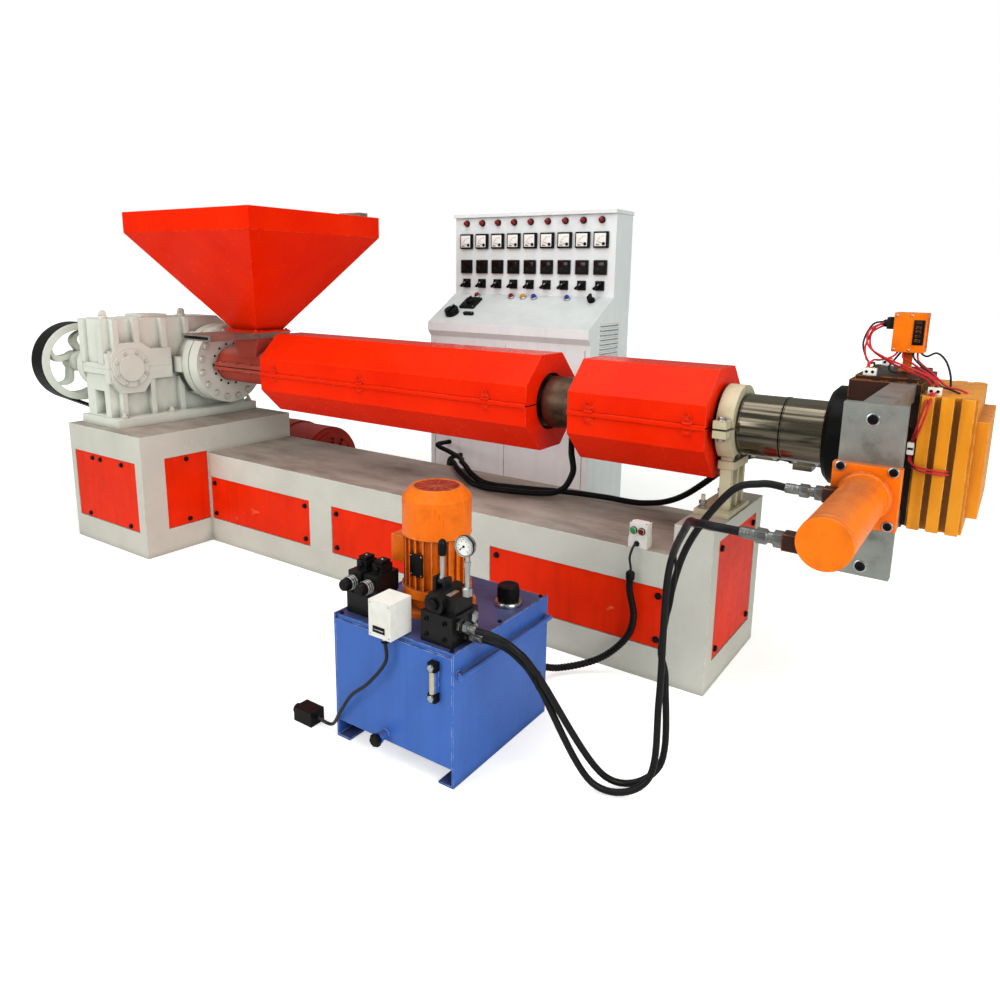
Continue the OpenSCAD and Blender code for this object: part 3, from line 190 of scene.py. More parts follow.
def enamel(name, main, shade, roughness, peel_mm=3.0, peel=0.06, edge=None, edge_mm=2.5, dust_and_top_shade=None,
           trodden_dust_and_top_shade=None, dust_and_top_shade_cover=0.8, grime=None, grime_cover=0.5, run_mm=520, hollow_shade=None, scuffs=None,
           specular=0.25):
    """Sprayed paint on metal: cloudy tone, orange peel, rubbed edges with painted edge highlights on some paints,
    settled dust with painted top shade on some paints, runs of grime, scuffs and painted shade in recesses.
    """
    material, tree, shader, place = new_material(name)
    cloud = noise(tree, place, 260, 5)
    fleck = noise(tree, place, 26, 5)
    colour = blend_colours(tree, spread(tree, cloud, 0.35, 0.72), main, shade)
    round_edge = rounded(tree, edge_mm)
    surface = add(tree, "ShaderNodeNewGeometry")
    if grime:
        runs = noise(tree, place, (46, 46, run_mm), 3)
        colour = blend_colours(tree, spread(tree, runs, 0.48, 0.8, 0, grime_cover), colour, grime)
    # Painted shade: ambient occlusion darkens the colour in recesses and creases.
    if hollow_shade:
        open_sky = add(tree, "ShaderNodeAmbientOcclusion", {"samples": 4, "Distance": 0.06}).outputs["AO"]
        colour = blend_colours(tree, spread(tree, open_sky, 0.75, 0.25, 0, 0.8), colour, hollow_shade)
    # Up-facing faces take this colour: settled dust, and on the orange enamel also painted shade on its tops.
    if dust_and_top_shade:
        facing = add(tree, "ShaderNodeSeparateXYZ", links={"Vector": surface.outputs["Normal"]}).outputs["Z"]
        patches = noise(tree, place, (420, 150, 420), 5)
        settled_dust_and_top_shade = blend_colours(tree, spread(tree, patches, 0.38, 0.66), dust_and_top_shade, trodden_dust_and_top_shade or dust_and_top_shade)
        cover = times(tree, spread(tree, facing, 0.6, 0.95, 0, dust_and_top_shade_cover),
                      spread(tree, cloud, 0.3, 0.6, 0.75, 1.0))
        colour = blend_colours(tree, cover, colour, settled_dust_and_top_shade)
    if scuffs:
        lines = noise(tree, place, (150, 2.4, 60), 2, (0.5, 0.3, 0.7))
        rubbed = times(tree, spread(tree, lines, 0.66, 0.70), spread(tree, cloud, 0.56, 0.62))
        colour = blend_colours(tree, rubbed, colour, scuffs)
    # Edges take this colour: rubbed paint, and on the burnt changer enamel also a painted edge highlight.
    if edge:
        match = add(tree, "ShaderNodeVectorMath", {"operation": "DOT_PRODUCT"},
                    {0: round_edge, 1: surface.outputs["True Normal"]}).outputs["Value"]
        edge_chips_and_highlight = times(tree, spread(tree, match, 0.97, 0.80), spread(tree, fleck, 0.42, 0.56))
        colour = blend_colours(tree, edge_chips_and_highlight, colour, edge)
    finish(tree, shader, colour, spread(tree, fleck, 0.3, 0.7, roughness - 0.05, roughness + 0.08),
           peel, 2, noise(tree, place, peel_mm, 2), round_edge)
    shader.inputs["Specular IOR Level"].default_value = specular
    return material


def bare_metal(name, main, shade, roughness, grain_mm=(60.0, 1.2, 60.0), cloud_mm=70, depth=0.05, spots=None):
    """Uncoated metal with a drawn or ground grain and cloudy tarnish; a cloud stretched long one way paints
    streaks of reflection.
    """
    material, tree, shader, place = new_material(name)
    lines = noise(tree, place, grain_mm, 4)
    cloud = noise(tree, place, cloud_mm, 5)
    # Stretched long one way, as on the polished sheet, this cloud paints streaks of reflection.
    colour = blend_colours(tree, spread(tree, cloud, 0.3, 0.7), main, shade)
    if spots:
        colour = blend_colours(tree, spread(tree, cloud, 0.56, 0.72, 0, 0.8), colour, spots)
    shader.inputs["Metallic"].default_value = 1.0
    finish(tree, shader, colour, spread(tree, lines, 0.3, 0.7, roughness - 0.07, roughness + 0.12),
           depth, 1, lines, rounded(tree, 1.2))
    return material


def moulding(name, main, shade, roughness, grain_mm=1.5, depth=0.08, specular=0.3):
    """Moulded plastic, rubber or ceramic: even colour, fine grain, dull handled patches."""
    material, tree, shader, place = new_material(name)
    cloud = noise(tree, place, 40, 4)
    colour = blend_colours(tree, spread(tree, cloud, 0.35, 0.7), main, shade)
    finish(tree, shader, colour, spread(tree, cloud, 0.3, 0.7, roughness - 0.05, roughness + 0.1),
           depth, 0.6, noise(tree, place, grain_mm, 2), rounded(tree, 1.5))
    shader.inputs["Specular IOR Level"].default_value = specular
    return material


# MATERIALS

# Sprayed orange-red enamel on folded sheet: deep even colour, faint shine, dusty tops, bright rubbed folds,
# painted shade in recesses and creases.
red_enamel = enamel(
    "gloss_red_enamel_on_folded_sheet", "#fa2a03", "#ee2002", 0.22, peel_mm=6, peel=0.03, edge="#ff6a3c",
    edge_mm=3, dust_and_top_shade="#b03418", trodden_dust_and_top_shade="#6a2c1c", dust_and_top_shade_cover=0.4, hollow_shade="#8c1206", specular=0.05)
# The same red on flat cover plates, a little more orange, pale where the cut edges are rubbed.
panel_enamel = enamel(
    "red_enamel_on_cover_plate", "#f62e06", "#e02604", 0.34, peel_mm=4, peel=0.04, edge="#f4b29a",
    grime="#a01a04", grime_cover=0.28, scuffs="#f2805e", specular=0.08)
# Satin warm grey machine enamel on welded plate: tops brown with trodden dust, edges chipped pale, white scuffs,
# painted shade in recesses.
grey_enamel = enamel(
    "satin_grey_enamel_on_welded_plate", "#d2d2c8", "#c4c4ba", 0.45, peel_mm=4, peel=0.05, edge="#f6f5ee",
    edge_mm=4, dust_and_top_shade="#a89b90", trodden_dust_and_top_shade="#6f6258", dust_and_top_shade_cover=0.95, hollow_shade="#8f887c", scuffs="#efeee8")
# Pale grey enamel brushed over sand castings: lumpy skin under the paint, darkened in recesses by grease and by
# painted shade.
cast_enamel = enamel(
    "cream_enamel_on_sand_casting", "#e6eae0", "#d9ddd3", 0.38, peel_mm=9, peel=0.2, edge="#f2f2ea", edge_mm=6,
    hollow_shade="#6f6e65")
# Warm cream enamel on the flame-cut support, dark where the edges are bare, with painted shade in recesses.
support_enamel = enamel(
    "cream_enamel_on_flame_cut_plate", "#d8cfb0", "#c2b998", 0.45, peel_mm=6, peel=0.12, edge="#8f897a",
    edge_mm=4, grime="#a89b78", hollow_shade="#6e6450")
# Red enamel that the heat of the feed throat has dulled to a dusty pink, with painted shade in recesses.
feed_enamel = enamel(
    "heat_dulled_red_enamel_on_casting", "#bd4a3a", "#a63a2a", 0.46, peel_mm=5, peel=0.1, edge="#d9938a",
    dust_and_top_shade="#d09a92", dust_and_top_shade_cover=0.7, hollow_shade="#5a1a12")
# Dark red motor enamel over a finned casting, with painted shade in recesses.
motor_enamel = enamel(
    "red_enamel_on_motor_casting", "#b2241a", "#8f1b13", 0.4, peel_mm=5, peel=0.12, edge="#d0584a",
    hollow_shade="#3c0c08")
# Bright orange enamel on turned steel and cast motor frames, browned on top by dust and by painted shade, with
# oily smudges and painted shade in recesses.
orange_enamel = enamel(
    "orange_enamel_on_machined_steel", "#ff7c08", "#f87004", 0.28, peel_mm=5, peel=0.05, edge="#ffb070",
    dust_and_top_shade="#a8683a", trodden_dust_and_top_shade="#7e4522", dust_and_top_shade_cover=0.6, grime="#9a4208", grime_cover=0.45, run_mm=60,
    hollow_shade="#6a2204", scuffs="#7c3408", specular=0.2)
# Amber enamel on the hot head, browned in runs, with painted shade darkening its channels.
amber_enamel = enamel(
    "heat_browned_amber_enamel_on_plate", "#f8a224", "#e68c16", 0.3, peel_mm=5, peel=0.08, edge="#ffcf80",
    edge_mm=3, grime="#8a460c", grime_cover=0.5, hollow_shade="#4a2408")
# Enamel of the screen changer body, burnt nearly black, with painted shade in recesses; its orange edges are
# partly rubbed paint and partly painted edge highlights.
burnt_enamel = enamel(
    "burnt_orange_enamel_on_plate", "#3c1607", "#190a05", 0.44, peel_mm=5, peel=0.12, edge="#e08428", edge_mm=4,
    grime="#180c07", grime_cover=0.8, dust_and_top_shade="#2e1d16", trodden_dust_and_top_shade="#1a100c", dust_and_top_shade_cover=0.85, hollow_shade="#0e0705")
# Blue enamel on the oil tank, stained by runs of oil, with chipped pale edges, a dark oily top and painted shade
# in recesses.
blue_enamel = enamel(
    "oil_stained_blue_enamel_on_sheet", "#3f6dc2", "#3762b5", 0.34, peel_mm=4, peel=0.04, edge="#c0d2f8",
    edge_mm=3, dust_and_top_shade="#474c72", trodden_dust_and_top_shade="#2b2f4c", dust_and_top_shade_cover=0.95, grime="#284890", grime_cover=0.3,
    hollow_shade="#1c2c5c", scuffs="#24366e")
# White powder coat on the cabinet: even, matt, finely pebbled, handled grey in runs, greyer on up-facing faces
# such as the desk, with painted shade in recesses.
white_powder = enamel(
    "white_powder_coat_on_sheet", "#edf3f4", "#e4ebed", 0.5, peel_mm=2, peel=0.1, edge="#fbfbfb", edge_mm=3,
    grime="#c4c9cb", grime_cover=0.25, dust_and_top_shade="#b9bebc", trodden_dust_and_top_shade="#abafad", dust_and_top_shade_cover=0.9, hollow_shade="#94999c")
# Black satin enamel on the turned flange.
black_enamel = enamel(
    "satin_black_enamel_on_turned_steel", "#060606", "#040404", 0.36, peel_mm=4, peel=0.08, edge="#1e1e20",
    specular=0.1)
# Ground steel plate, with straight grinding lines and handled dull patches.
ground_steel = bare_metal(
    "ground_steel_plate", "#a6aaa7", "#8f9490", 0.48, grain_mm=(0.9, 40.0, 60.0), depth=0.08, spots="#757a76")
# Zinc plated fasteners and fittings, bright and slightly blue.
zinc = bare_metal("zinc_plated_turned_steel", "#c3c6c8", "#a7abae", 0.28, grain_mm=(3, 3, 3), depth=0.03)
# Oil-blackened screw steel.
black_oxide = bare_metal("black_oxide_screw_steel", "#2b2b2d", "#1a1a1c", 0.38, grain_mm=(3, 3, 3), depth=0.04)
# Barrel and mica band heaters browned by heat.
hot_steel = bare_metal(
    "heat_browned_rolled_steel", "#6a5648", "#40342c", 0.42, grain_mm=(40, 1.5, 40), spots="#2a2320")
# Polished stainless sheet rolled into bands: mirror-like, with dark and bright streaks of painted reflection along
# the barrel.
polished_sheet = bare_metal(
    "polished_stainless_sheet", "#877e6e", "#2a261f", 0.13, grain_mm=(300.0, 16.0, 16.0),
    cloud_mm=(900, 22, 22), depth=0.10, spots="#12100c")
# Dull steel of hose ends, dark with oil.
oily_steel = bare_metal("oily_turned_steel", "#8b8c8a", "#5d5e5d", 0.36, grain_mm=(4, 4, 4), depth=0.03)
# Galvanised slide tray with dull spangle.
galvanised = bare_metal("galvanised_rolled_sheet", "#b3aea4", "#8a857c", 0.48, grain_mm=(9, 9, 9), depth=0.03)
# Brass of terminals and thermometer stems.
brass = bare_metal("turned_brass", "#c9a04a", "#a8802f", 0.3, grain_mm=(3, 3, 3), depth=0.03)
# Black V-belt and hose rubber: matt, faintly dusty.
black_rubber = moulding(
    "extruded_black_rubber", "#0a0a0b", "#121213", 0.42, grain_mm=2, depth=0.15, specular=0.2)
# Moulded black ABS and phenolic of knobs, frames, conduits and covers.
black_abs = moulding("moulded_black_abs", "#070708", "#0c0c0d", 0.4, specular=0.14)
# Phosphated cast iron of the valve bodies, oily and nearly black.
valve_iron = moulding("phosphated_cast_iron", "#0c0c0d", "#161617", 0.34, grain_mm=3, depth=0.25, specular=0.2)
# Moulded white ABS of junction and push button boxes.
white_abs = moulding("moulded_white_abs", "#efeee8", "#e3e2da", 0.42)
# Glazed white ceramic of the heater terminals.
ceramic = moulding("glazed_white_ceramic", "#f4f1e9", "#e6e1d5", 0.2, grain_mm=4, depth=0.02)
# Red and black silicone wire insulation, slightly shiny.
red_wire = moulding("red_silicone_insulation", "#d5252f", "#b01a26", 0.4)
black_wire = moulding("black_silicone_insulation", "#141415", "#1e1e1f", 0.45)
# Coloured acrylic lenses and caps, smooth and shiny.
red_lens = moulding("moulded_red_acrylic", "#8e1214", "#6b0c0f", 0.14, depth=0.01)
yellow_cap = moulding("moulded_yellow_acrylic", "#d99a2b", "#c2851f", 0.25, depth=0.02)
blue_cap = moulding("moulded_blue_acrylic", "#2c3f9e", "#233385", 0.25, depth=0.02)
green_cap = moulding("moulded_green_acrylic", "#27934a", "#1f7d3d", 0.25, depth=0.02)
# Smoked acrylic of display windows.
smoked_lens = moulding("smoked_acrylic_window", "#120b0c", "#1c0f10", 0.1, depth=0.01)
# Printed white dial card, matt.
dial_card = moulding("printed_dial_card", "#f6f6f2", "#ecece6", 0.6, depth=0.02)
# Oil behind the glass of the level gauge.
oil_glass = moulding("oil_filled_glass", "#c9c2ac", "#a59c80", 0.08, depth=0.01)

looks = {
    grey_enamel: ("gearbox_pedestal", "bed", "end_pedestal"),
    panel_enamel: ("access_panels",),
    cast_enamel: ("gearbox_lower_case", "gearbox_upper_case", "bearing_caps", "output_flange", "drive_pulley"),
    black_rubber: ("drive_belts",),
    ground_steel: ("motor_pulley", "screen_slide", "tie_bars", "cylinder_plate"),
    motor_enamel: ("main_motor",),
    hot_steel: ("barrel", "barrel_heaters", "guard_brackets"),
    feed_enamel: ("feed_section",),
    galvanised: ("slide_gate", "level_switch"),
    red_enamel: ("hopper_cone", "hopper_rim", "guard_1_tray", "guard_1_lid", "guard_2_tray", "guard_2_lid"),
    support_enamel: ("support_stand", "support_clamp"),
    polished_sheet: ("end_heaters",),
    black_enamel: ("barrel_flange",),
    burnt_enamel: ("changer_body",),
    amber_enamel: ("die_head",),
    orange_enamel: ("hydraulic_cylinder", "die_junction_box", "pump_motor"),
    white_powder: ("cabinet",),
    black_abs: ("panel_meters", "panel_controls", "desk_controls", "filler_cap", "cable_plug"),
    red_lens: ("panel_lamps",),
    blue_enamel: ("oil_tank", "tank_ends"),
    valve_iron: ("lever_valve", "valve_lever", "solenoid_valves"),
    white_abs: ("tank_junction_box", "pendant_box"),
}
for material, nodes in looks.items():
    for name in nodes:
        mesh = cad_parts[name].data
        mesh.materials.clear()
        mesh.materials.append(material)


# MAKING PIECES

def piece(name, shape, materials, body=MACHINE):
    """Turns a shape built in millimetres into a named object on a body; edges over 35 degrees stay crisp."""
    for face in shape.faces:
        face.smooth = True
    for edge in shape.edges:
        edge.smooth = len(edge.link_faces) == 2 and edge.calc_face_angle(0) < math.radians(35)
    mesh = bpy.data.meshes.new(name)
    shape.to_mesh(mesh)
    shape.free()
    mesh.transform(Matrix.Scale(MM, 4))
    for material in materials:
        mesh.materials.append(material)
    made = bpy.data.objects.new(name, mesh)
    bpy.context.scene.collection.objects.link(made)
    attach(made, body)
    return made


def append(shape, part, slot, place=None):
    """Adds a finished part to a shape, in one of its material slots, moved by a matrix or to a place."""
    if isinstance(place, Vector):
        place = Matrix.Translation(place)
    if place:
        bmesh.ops.transform(part, matrix=place, verts=part.verts)
    for face in part.faces:
        face.material_index = slot
    mesh = bpy.data.meshes.new("part")
    part.to_mesh(mesh)
    part.free()
    shape.from_mesh(mesh)
    bpy.data.meshes.remove(mesh)


def block(shape, low, high, slot=0, edge=1.0, place=None):
    """A box with softened edges, from its low to its high corner."""
    low, high = Vector(low), Vector(high)
    part = bmesh.new()
    bmesh.ops.create_cube(part, size=1, matrix=Matrix.Translation((low + high) / 2)
                          @ Matrix.Diagonal((*(high - low), 1)))
    bmesh.ops.bevel(part, geom=part.edges[:], offset=edge, segments=2, profile=0.6, affect="EDGES")
    append(shape, part, slot, place)


def sides_of(axis):
    """Two directions at right angles to an axis."""
    across = axis.orthogonal().normalized()
    return across, axis.cross(across)


def skin(shape, part, rings, slot):
    """Closes a row of rings of points into a solid, and adds it to a shape."""
    for one, two in zip(rings, rings[1:]):
        for k in range(len(one)):
            n = (k + 1) % len(one)
            part.faces.new((one[k], one[n], two[n], two[k]))
    part.faces.new(rings[0][::-1])
    part.faces.new(rings[-1])
    append(shape, part, slot)


def turned(shape, profile, at, axis, slot=0, sides=24):
    """A turned part. The profile lists radius and distance along the axis, with True after a hexagonal step."""
    across, around = sides_of(axis)
    part = bmesh.new()
    rings = []
    for radius, along, *six in profile:
        ring = []
        for k in range(sides):
            a = 2 * math.pi * k / sides
            r = radius / math.cos((a + math.pi / 6) % (math.pi / 3) - math.pi / 6) if six else radius
            out = r * (across * math.cos(a) + around * math.sin(a))
            ring.append(part.verts.new(Vector(at) + axis * along + out))
        rings.append(ring)
    skin(shape, part, rings, slot)


def nut(shape, radius, height, top_radius, top, at, axis, slot=0):
    """Hexagon nut or plug; radius is half its width across the flats."""
    turned(shape, [(radius, 0, True), (radius, height, True), (top_radius, top)], at, axis, slot)


def bolt(shape, at, axis, size, slot=0):
    """Hexagon head on a washer; size is the thread diameter."""
    d = size
    turned(shape, [(1.1 * d, -1), (1.1 * d, 0.12 * d), (1.04 * d, 0.18 * d)], at, axis, slot, 20)
    turned(shape, [(0.8 * d, 0.15 * d, True), (0.8 * d, 0.72 * d, True), (0.72 * d, 0.85 * d)], at, axis, slot)


def socket_screw(shape, at, axis, size, slot=0):
    """Cap screw with a hexagon socket; size is the head diameter."""
    r = size / 2
    turned(shape, [(r, -1), (r, 0.5 * r), (0.93 * r, 0.58 * r), (0.52 * r, 0.58 * r, True),
                   (0.52 * r, 0.1 * r, True)], at, axis, slot)


def pan_screw(shape, at, axis, size, slot=0):
    """Domed screw or rivet head; size is the head diameter."""
    r = size / 2
    turned(shape, [(r, -0.5), (r, 0.2 * r), (0.8 * r, 0.5 * r), (0.4 * r, 0.66 * r)], at, axis, slot, 12)


def circle(count, start=0.0, flat=False):
    """Directions spread evenly round the barrel's axis or, flat, round an upright one; start is in steps."""
    for k in range(count):
        a = 2 * math.pi * (k + start) / count
        u, v = math.cos(a), math.sin(a)
        yield Vector((u, v, 0)) if flat else Vector((0, u, v))


def corners(low, high, inset=0):
    """The four corners of a plate, drawn in by an inset."""
    return [(u, v) for u in (low[0] + inset, high[0] - inset) for v in (low[1] + inset, high[1] - inset)]


def smooth_route(points, steps):
    """Points on the same smooth curve that the CAD tubes follow."""
    route = []
    last = len(points) - 1
    for i in range(last):
        a, b = Vector(points[max(i - 1, 0)]), Vector(points[i])
        c, d = Vector(points[i + 1]), Vector(points[min(i + 2, last)])
        for k in range(steps):
            t = k / steps
            route.append(0.5 * (2 * b + (c - a) * t + (2 * a - 5 * b + 4 * c - d) * t * t
                                + (3 * b - a - 3 * c + d) * t ** 3))
    return route + [Vector(points[last])]


def length_of(route):
    """Length along a route."""
    return sum((b - a).length for a, b in zip(route, route[1:]))


def tube(shape, route, radius, sides=14, slot=0):
    """Sweeps a round tube along a route; radius is one number or a function of the place along it."""
    part = bmesh.new()
    rings = []
    up = UP
    for i, at in enumerate(route):
        ahead = (route[min(i + 1, len(route) - 1)] - route[max(i - 1, 0)]).normalized()
        across = ahead.cross(up)
        if across.length < 0.2:
            across = ahead.cross(BACK)
        across.normalize()
        up = across.cross(ahead)
        r = radius(i) if callable(radius) else radius
        rings.append([part.verts.new(at + r * (across * math.cos(a) + up * math.sin(a)))
                      for a in (2 * math.pi * k / sides for k in range(sides))])
    skin(shape, part, rings, slot)


def hoop(shape, centre, axis, radius, wire, slot=0, sides=36):
    """A ring of round wire round an axis."""
    across, around = sides_of(axis)
    route = [Vector(centre) + radius * (across * math.cos(a) + around * math.sin(a))
             for a in (2 * math.pi * k / sides for k in range(sides + 1))]
    tube(shape, route, wire, 6, slot)


def dial_marks(shape, centre, radius, marks, start, end, slot, length, width):
    """Scale marks on a dial that faces the front, between two angles clockwise from the top."""
    for k in range(marks):
        turn = math.radians(start + (end - start) * k / (marks - 1))
        long = length if k % 2 == 0 else 0.6 * length
        block(shape, (-width / 2, -0.6, radius - long), (width / 2, 0.2, radius), slot, 0.1,
              Matrix.Translation(centre) @ Matrix.Rotation(turn, 4, "Y"))


def needle(shape, centre, length, angle, slot):
    """A dial's pointer, with its hub."""
    block(shape, (-0.8, -1.6, -0.2 * length), (0.8, -0.8, length), slot, 0.2,
          Matrix.Translation(centre) @ Matrix.Rotation(math.radians(angle), 4, "Y"))
    turned(shape, [(3.2, 0), (3.2, 1.8), (2, 2.6)], centre, FRONT, slot, 16)


# CORDS

HOSE_UPPER = [
    (2110.4, -1040, 440), (2167, -1040, 440), (2220, -1026, 415.4), (2265.3, -987, 341.4), (2399.9, -856, 37.8),
    (2518.3, -779, 71.4), (2507.3, -744, 293.3), (2485.3, -731, 393), (2518.3, -703, 633.8),
    (2619.2, -700, 810.1), (2696, -700, 849), (2756.6, -700, 849)]
HOSE_LOWER = [
    (2110.4, -1010, 404), (2168, -1010, 404), (2218, -1000, 376.7), (2258.8, -971, 305.3), (2379.2, -890, 31),
    (2509.8, -835, 59.3), (2511.1, -791, 272.6), (2509.8, -779, 594.3), (2604.3, -931, 785.2),
    (2654.8, -1008, 823.9), (2704, -1035, 833), (2756.6, -1035, 833)]
PENDANT_LEAD = [
    (2194, -256.4, 466), (2194, -277, 466), (2194, -293, 456), (2192, -304, 430), (2192, -292, 394),
    (2192, -292, 374)]
PENDANT_CONDUIT = [
    (2192, -292, 373.6), (2192, -292, 315), (2208.3, -286, 220), (2182.1, -289, 134), (2096.9, -313, 47),
    (1996.9, -404, 23), (1949.9, -510, 67), (1945, -568, 82), (1945, -614.6, 82)]
HEATER_CONDUIT = [
    (2570.6, 95, 742), (2492.6, 95, 742), (2400.1, 105, 712), (2174.8, 188, 522.9), (2030, 176, 472),
    (1853.1, 167, 468), (1692.2, 139, 468), (1541.4, 88, 468), (1372.4, 52, 468), (1231.7, 133, 468),
    (1113, 240, 469), (998.4, 361, 451), (905.9, 477, 429), (730.9, 615, 412), (560, 720, 410),
    (560, 829.6, 410)]
GAP_CONDUIT = [
    (1790, 10, 747.6), (1790, 10, 671.8), (1772.8, 53, 569.9), (1679.6, 73, 477), (1455.4, 1, 468),
    (1333.5, 12, 468), (1215, 94, 468), (1110.4, 182, 468), (1011.5, 278, 465), (920.6, 376, 421),
    (835.5, 477, 381), (705.6, 636, 345), (640, 741, 345), (640, 829.6, 345)]
TANK_CABLE = [
    (1866, -1113, 366.6), (1866, -1113, 309), (1804, -1117, 228.6), (1737, -1116, 169.2), (1685, -1111, 96),
    (1621, -1084, 22), (1560.4, -1084, 22)]


def free_cord(name, points, diameter, material, rib=0.0, with_pieces=()):
    """A hose or cable over its CAD tube; rib is the pitch of a corrugated conduit."""
    route = smooth_route(points, 12)
    shape = bmesh.new()
    if rib:
        route = smooth_route(points, max(6, int(2 * length_of(route) / len(points) / rib)))
        tube(shape, route, lambda i: diameter / 2 * (1.0 if i % 2 else 0.84), 12)
    else:
        tube(shape, route, diameter / 2, 16)
    made = piece(name + "_skin", shape, [material])
    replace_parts(made, name)


def hose_ties():
    """Two cable ties that hold the hydraulic hoses together."""
    shape = bmesh.new()
    upper, lower = smooth_route(HOSE_UPPER, 12), smooth_route(HOSE_LOWER, 12)
    for k in (36, 88):
        middle, half = (upper[k] + lower[k]) / 2, (lower[k] - upper[k]) / 2
        long = half + half.normalized() * 11.5
        short = (upper[k + 1] - upper[k - 1]).cross(half).normalized() * 11.5
        turns = [2 * math.pi * i / 32 for i in range(33)]
        tube(shape, [middle + long * math.cos(a) + short * math.sin(a) for a in turns], 3.4, 8)
    return piece("hose_ties", shape, [black_abs])


free_cord("hose_upper", HOSE_UPPER, 18, black_rubber, with_pieces=[hose_ties()])
free_cord("hose_lower", HOSE_LOWER, 18, black_rubber)
free_cord("pendant_lead", PENDANT_LEAD, 8, black_wire)
free_cord("pendant_conduit", PENDANT_CONDUIT, 25, black_abs, rib=7)
free_cord("heater_conduit", HEATER_CONDUIT, 25, black_abs, rib=7)
free_cord("gap_conduit", GAP_CONDUIT, 25, black_abs, rib=7)
free_cord("tank_cable", TANK_CABLE, 10, black_wire, with_pieces=[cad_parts["cable_plug"]])


# FITTINGS ON PEDESTAL, GEARBOX AND HOPPER

def cover_plate_bolts():
    """Black bolts that hold the red cover plates of pedestal, bed and end post."""
    shape = bmesh.new()
    for x, z in ((-520, 428), (-452, 428), (-270, 428), (-582, 138), (-228, 138)):
        bolt(shape, (x, -602, z), FRONT, 11)
    for z in (440, 142):
        bolt(shape, (-103, -375, z), RIGHT, 11)
    for x, z in corners((-676, 120), (-155, 450), 30):
        bolt(shape, (x, 255, z), BACK, 11)
    for start, end in ((-86, 615.8), (759.1, 1460.9), (1604.2, 2306)):
        for x, z in corners((start, 120), (end, 330), 28):
            bolt(shape, (x, -255, z), FRONT, 11)
            bolt(shape, (x, 255, z), BACK, 11)
    for y, z in corners((-195, 100), (195, 508), 30):
        bolt(shape, (2447, y, z), RIGHT, 11)
    piece("cover_plate_bolts", shape, [black_oxide])


def gearbox_bolts():
    """Painted bolts of the output flange, the bearing cap, the case joint and the foot."""
    shape = bmesh.new()
    for way in circle(16, 0.5):
        bolt(shape, FLANGE_FACE + way * 172, RIGHT, 17)
    for way in circle(8, 0.5):
        bolt(shape, BEARING_CAP + way * 78, RIGHT, 8)
    for y in (-525, 212):
        bolt(shape, (-425, y, 935), UP, 14)
    for y in (-500, -250, 215):
        bolt(shape, (-385, y, 622), UP, 18)
        turned(shape, [(9, 0), (9, 28), (7, 31)], (-385, y, 622), UP, 0, 12)
    piece("gearbox_bolts", shape, [grey_enamel])
    dark = bmesh.new()
    for way in circle(14):
        pan_screw(dark, FLANGE_FACE + way * 104, RIGHT, 12)
    piece("feed_ring_screws", dark, [black_oxide])


def feed_bolts():
    """Bolts with nuts along the split flanges of the feed section, and in the corners of the hopper's foot."""
    shape = bmesh.new()
    for x in (-165, -55, 55, 165):
        for y in (-105, 105):
            bolt(shape, (x, y, 877), UP, 9)
            bolt(shape, (x, y, 843), DOWN, 9)
    piece("feed_flange_bolts", shape, [feed_enamel])
    red = bmesh.new()
    for x, y in corners((-101, -91), (101, 91)):
        bolt(red, (x, y, 1047), UP, 8)
    piece("hopper_foot_bolts", red, [red_enamel])


def motor_grille():
    """Wire rings and bars over the air slots of the main motor's fan cowl."""
    shape = bmesh.new()
    for r in (30, 55, 80, 105, 130, 155):
        hoop(shape, MOTOR_END + RIGHT, RIGHT, r, 2.5)
    for way in circle(8):
        tube(shape, [MOTOR_END + way * r for r in (20, 90, 160)], 2.5, 6)
    piece("motor_fan_grille", shape, [motor_enamel])


# FITTINGS ON GUARDS, SUPPORT AND END HEATERS

def guard_latches():
    """Painted toggle latches, with the lip of each lid that laps over the seam and a riveted catch on the tray."""
    catches = bmesh.new()
    y = GUARD_FRONT
    for body, places in LATCHES.items():
        handles = bmesh.new()
        for x in places:
            block(handles, (x - 12, y - 3, 880), (x + 12, y + 1, 892), 0, 0.8)
            for dx in (-11, 11):
                pan_screw(handles, (x + dx, y, 887), FRONT, 6)
            loop = [(x - 9, y - 2, 884), (x - 9, y - 6, 900), (x, y - 8, 910),
                    (x + 9, y - 6, 900), (x + 9, y - 2, 884)]
            tube(handles, smooth_route(loop, 5), 1.6, 8)
            block(catches, (x - 10, y - 4, 834), (x + 10, y + 1, 847), 0, 1.2)
            for dx in (-12.5, 12.5):
                pan_screw(catches, (x + dx, y, 835), FRONT, 5)
        low, high = (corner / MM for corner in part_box(body))
        block(handles, (low.x, y - 2.6, 853.5), (high.x, y - 0.6, 870), 0, 0.8)
        piece("latch_handles_" + body, handles, [red_enamel], body)
    piece("latch_catches", catches, [red_enamel])


def terminal_screw(shape, at):
    """Brass screw on a ceramic terminal."""
    turned(shape, [(5.2, 0), (5.2, 3), (3.6, 4.2)], at, UP, 1, 12)


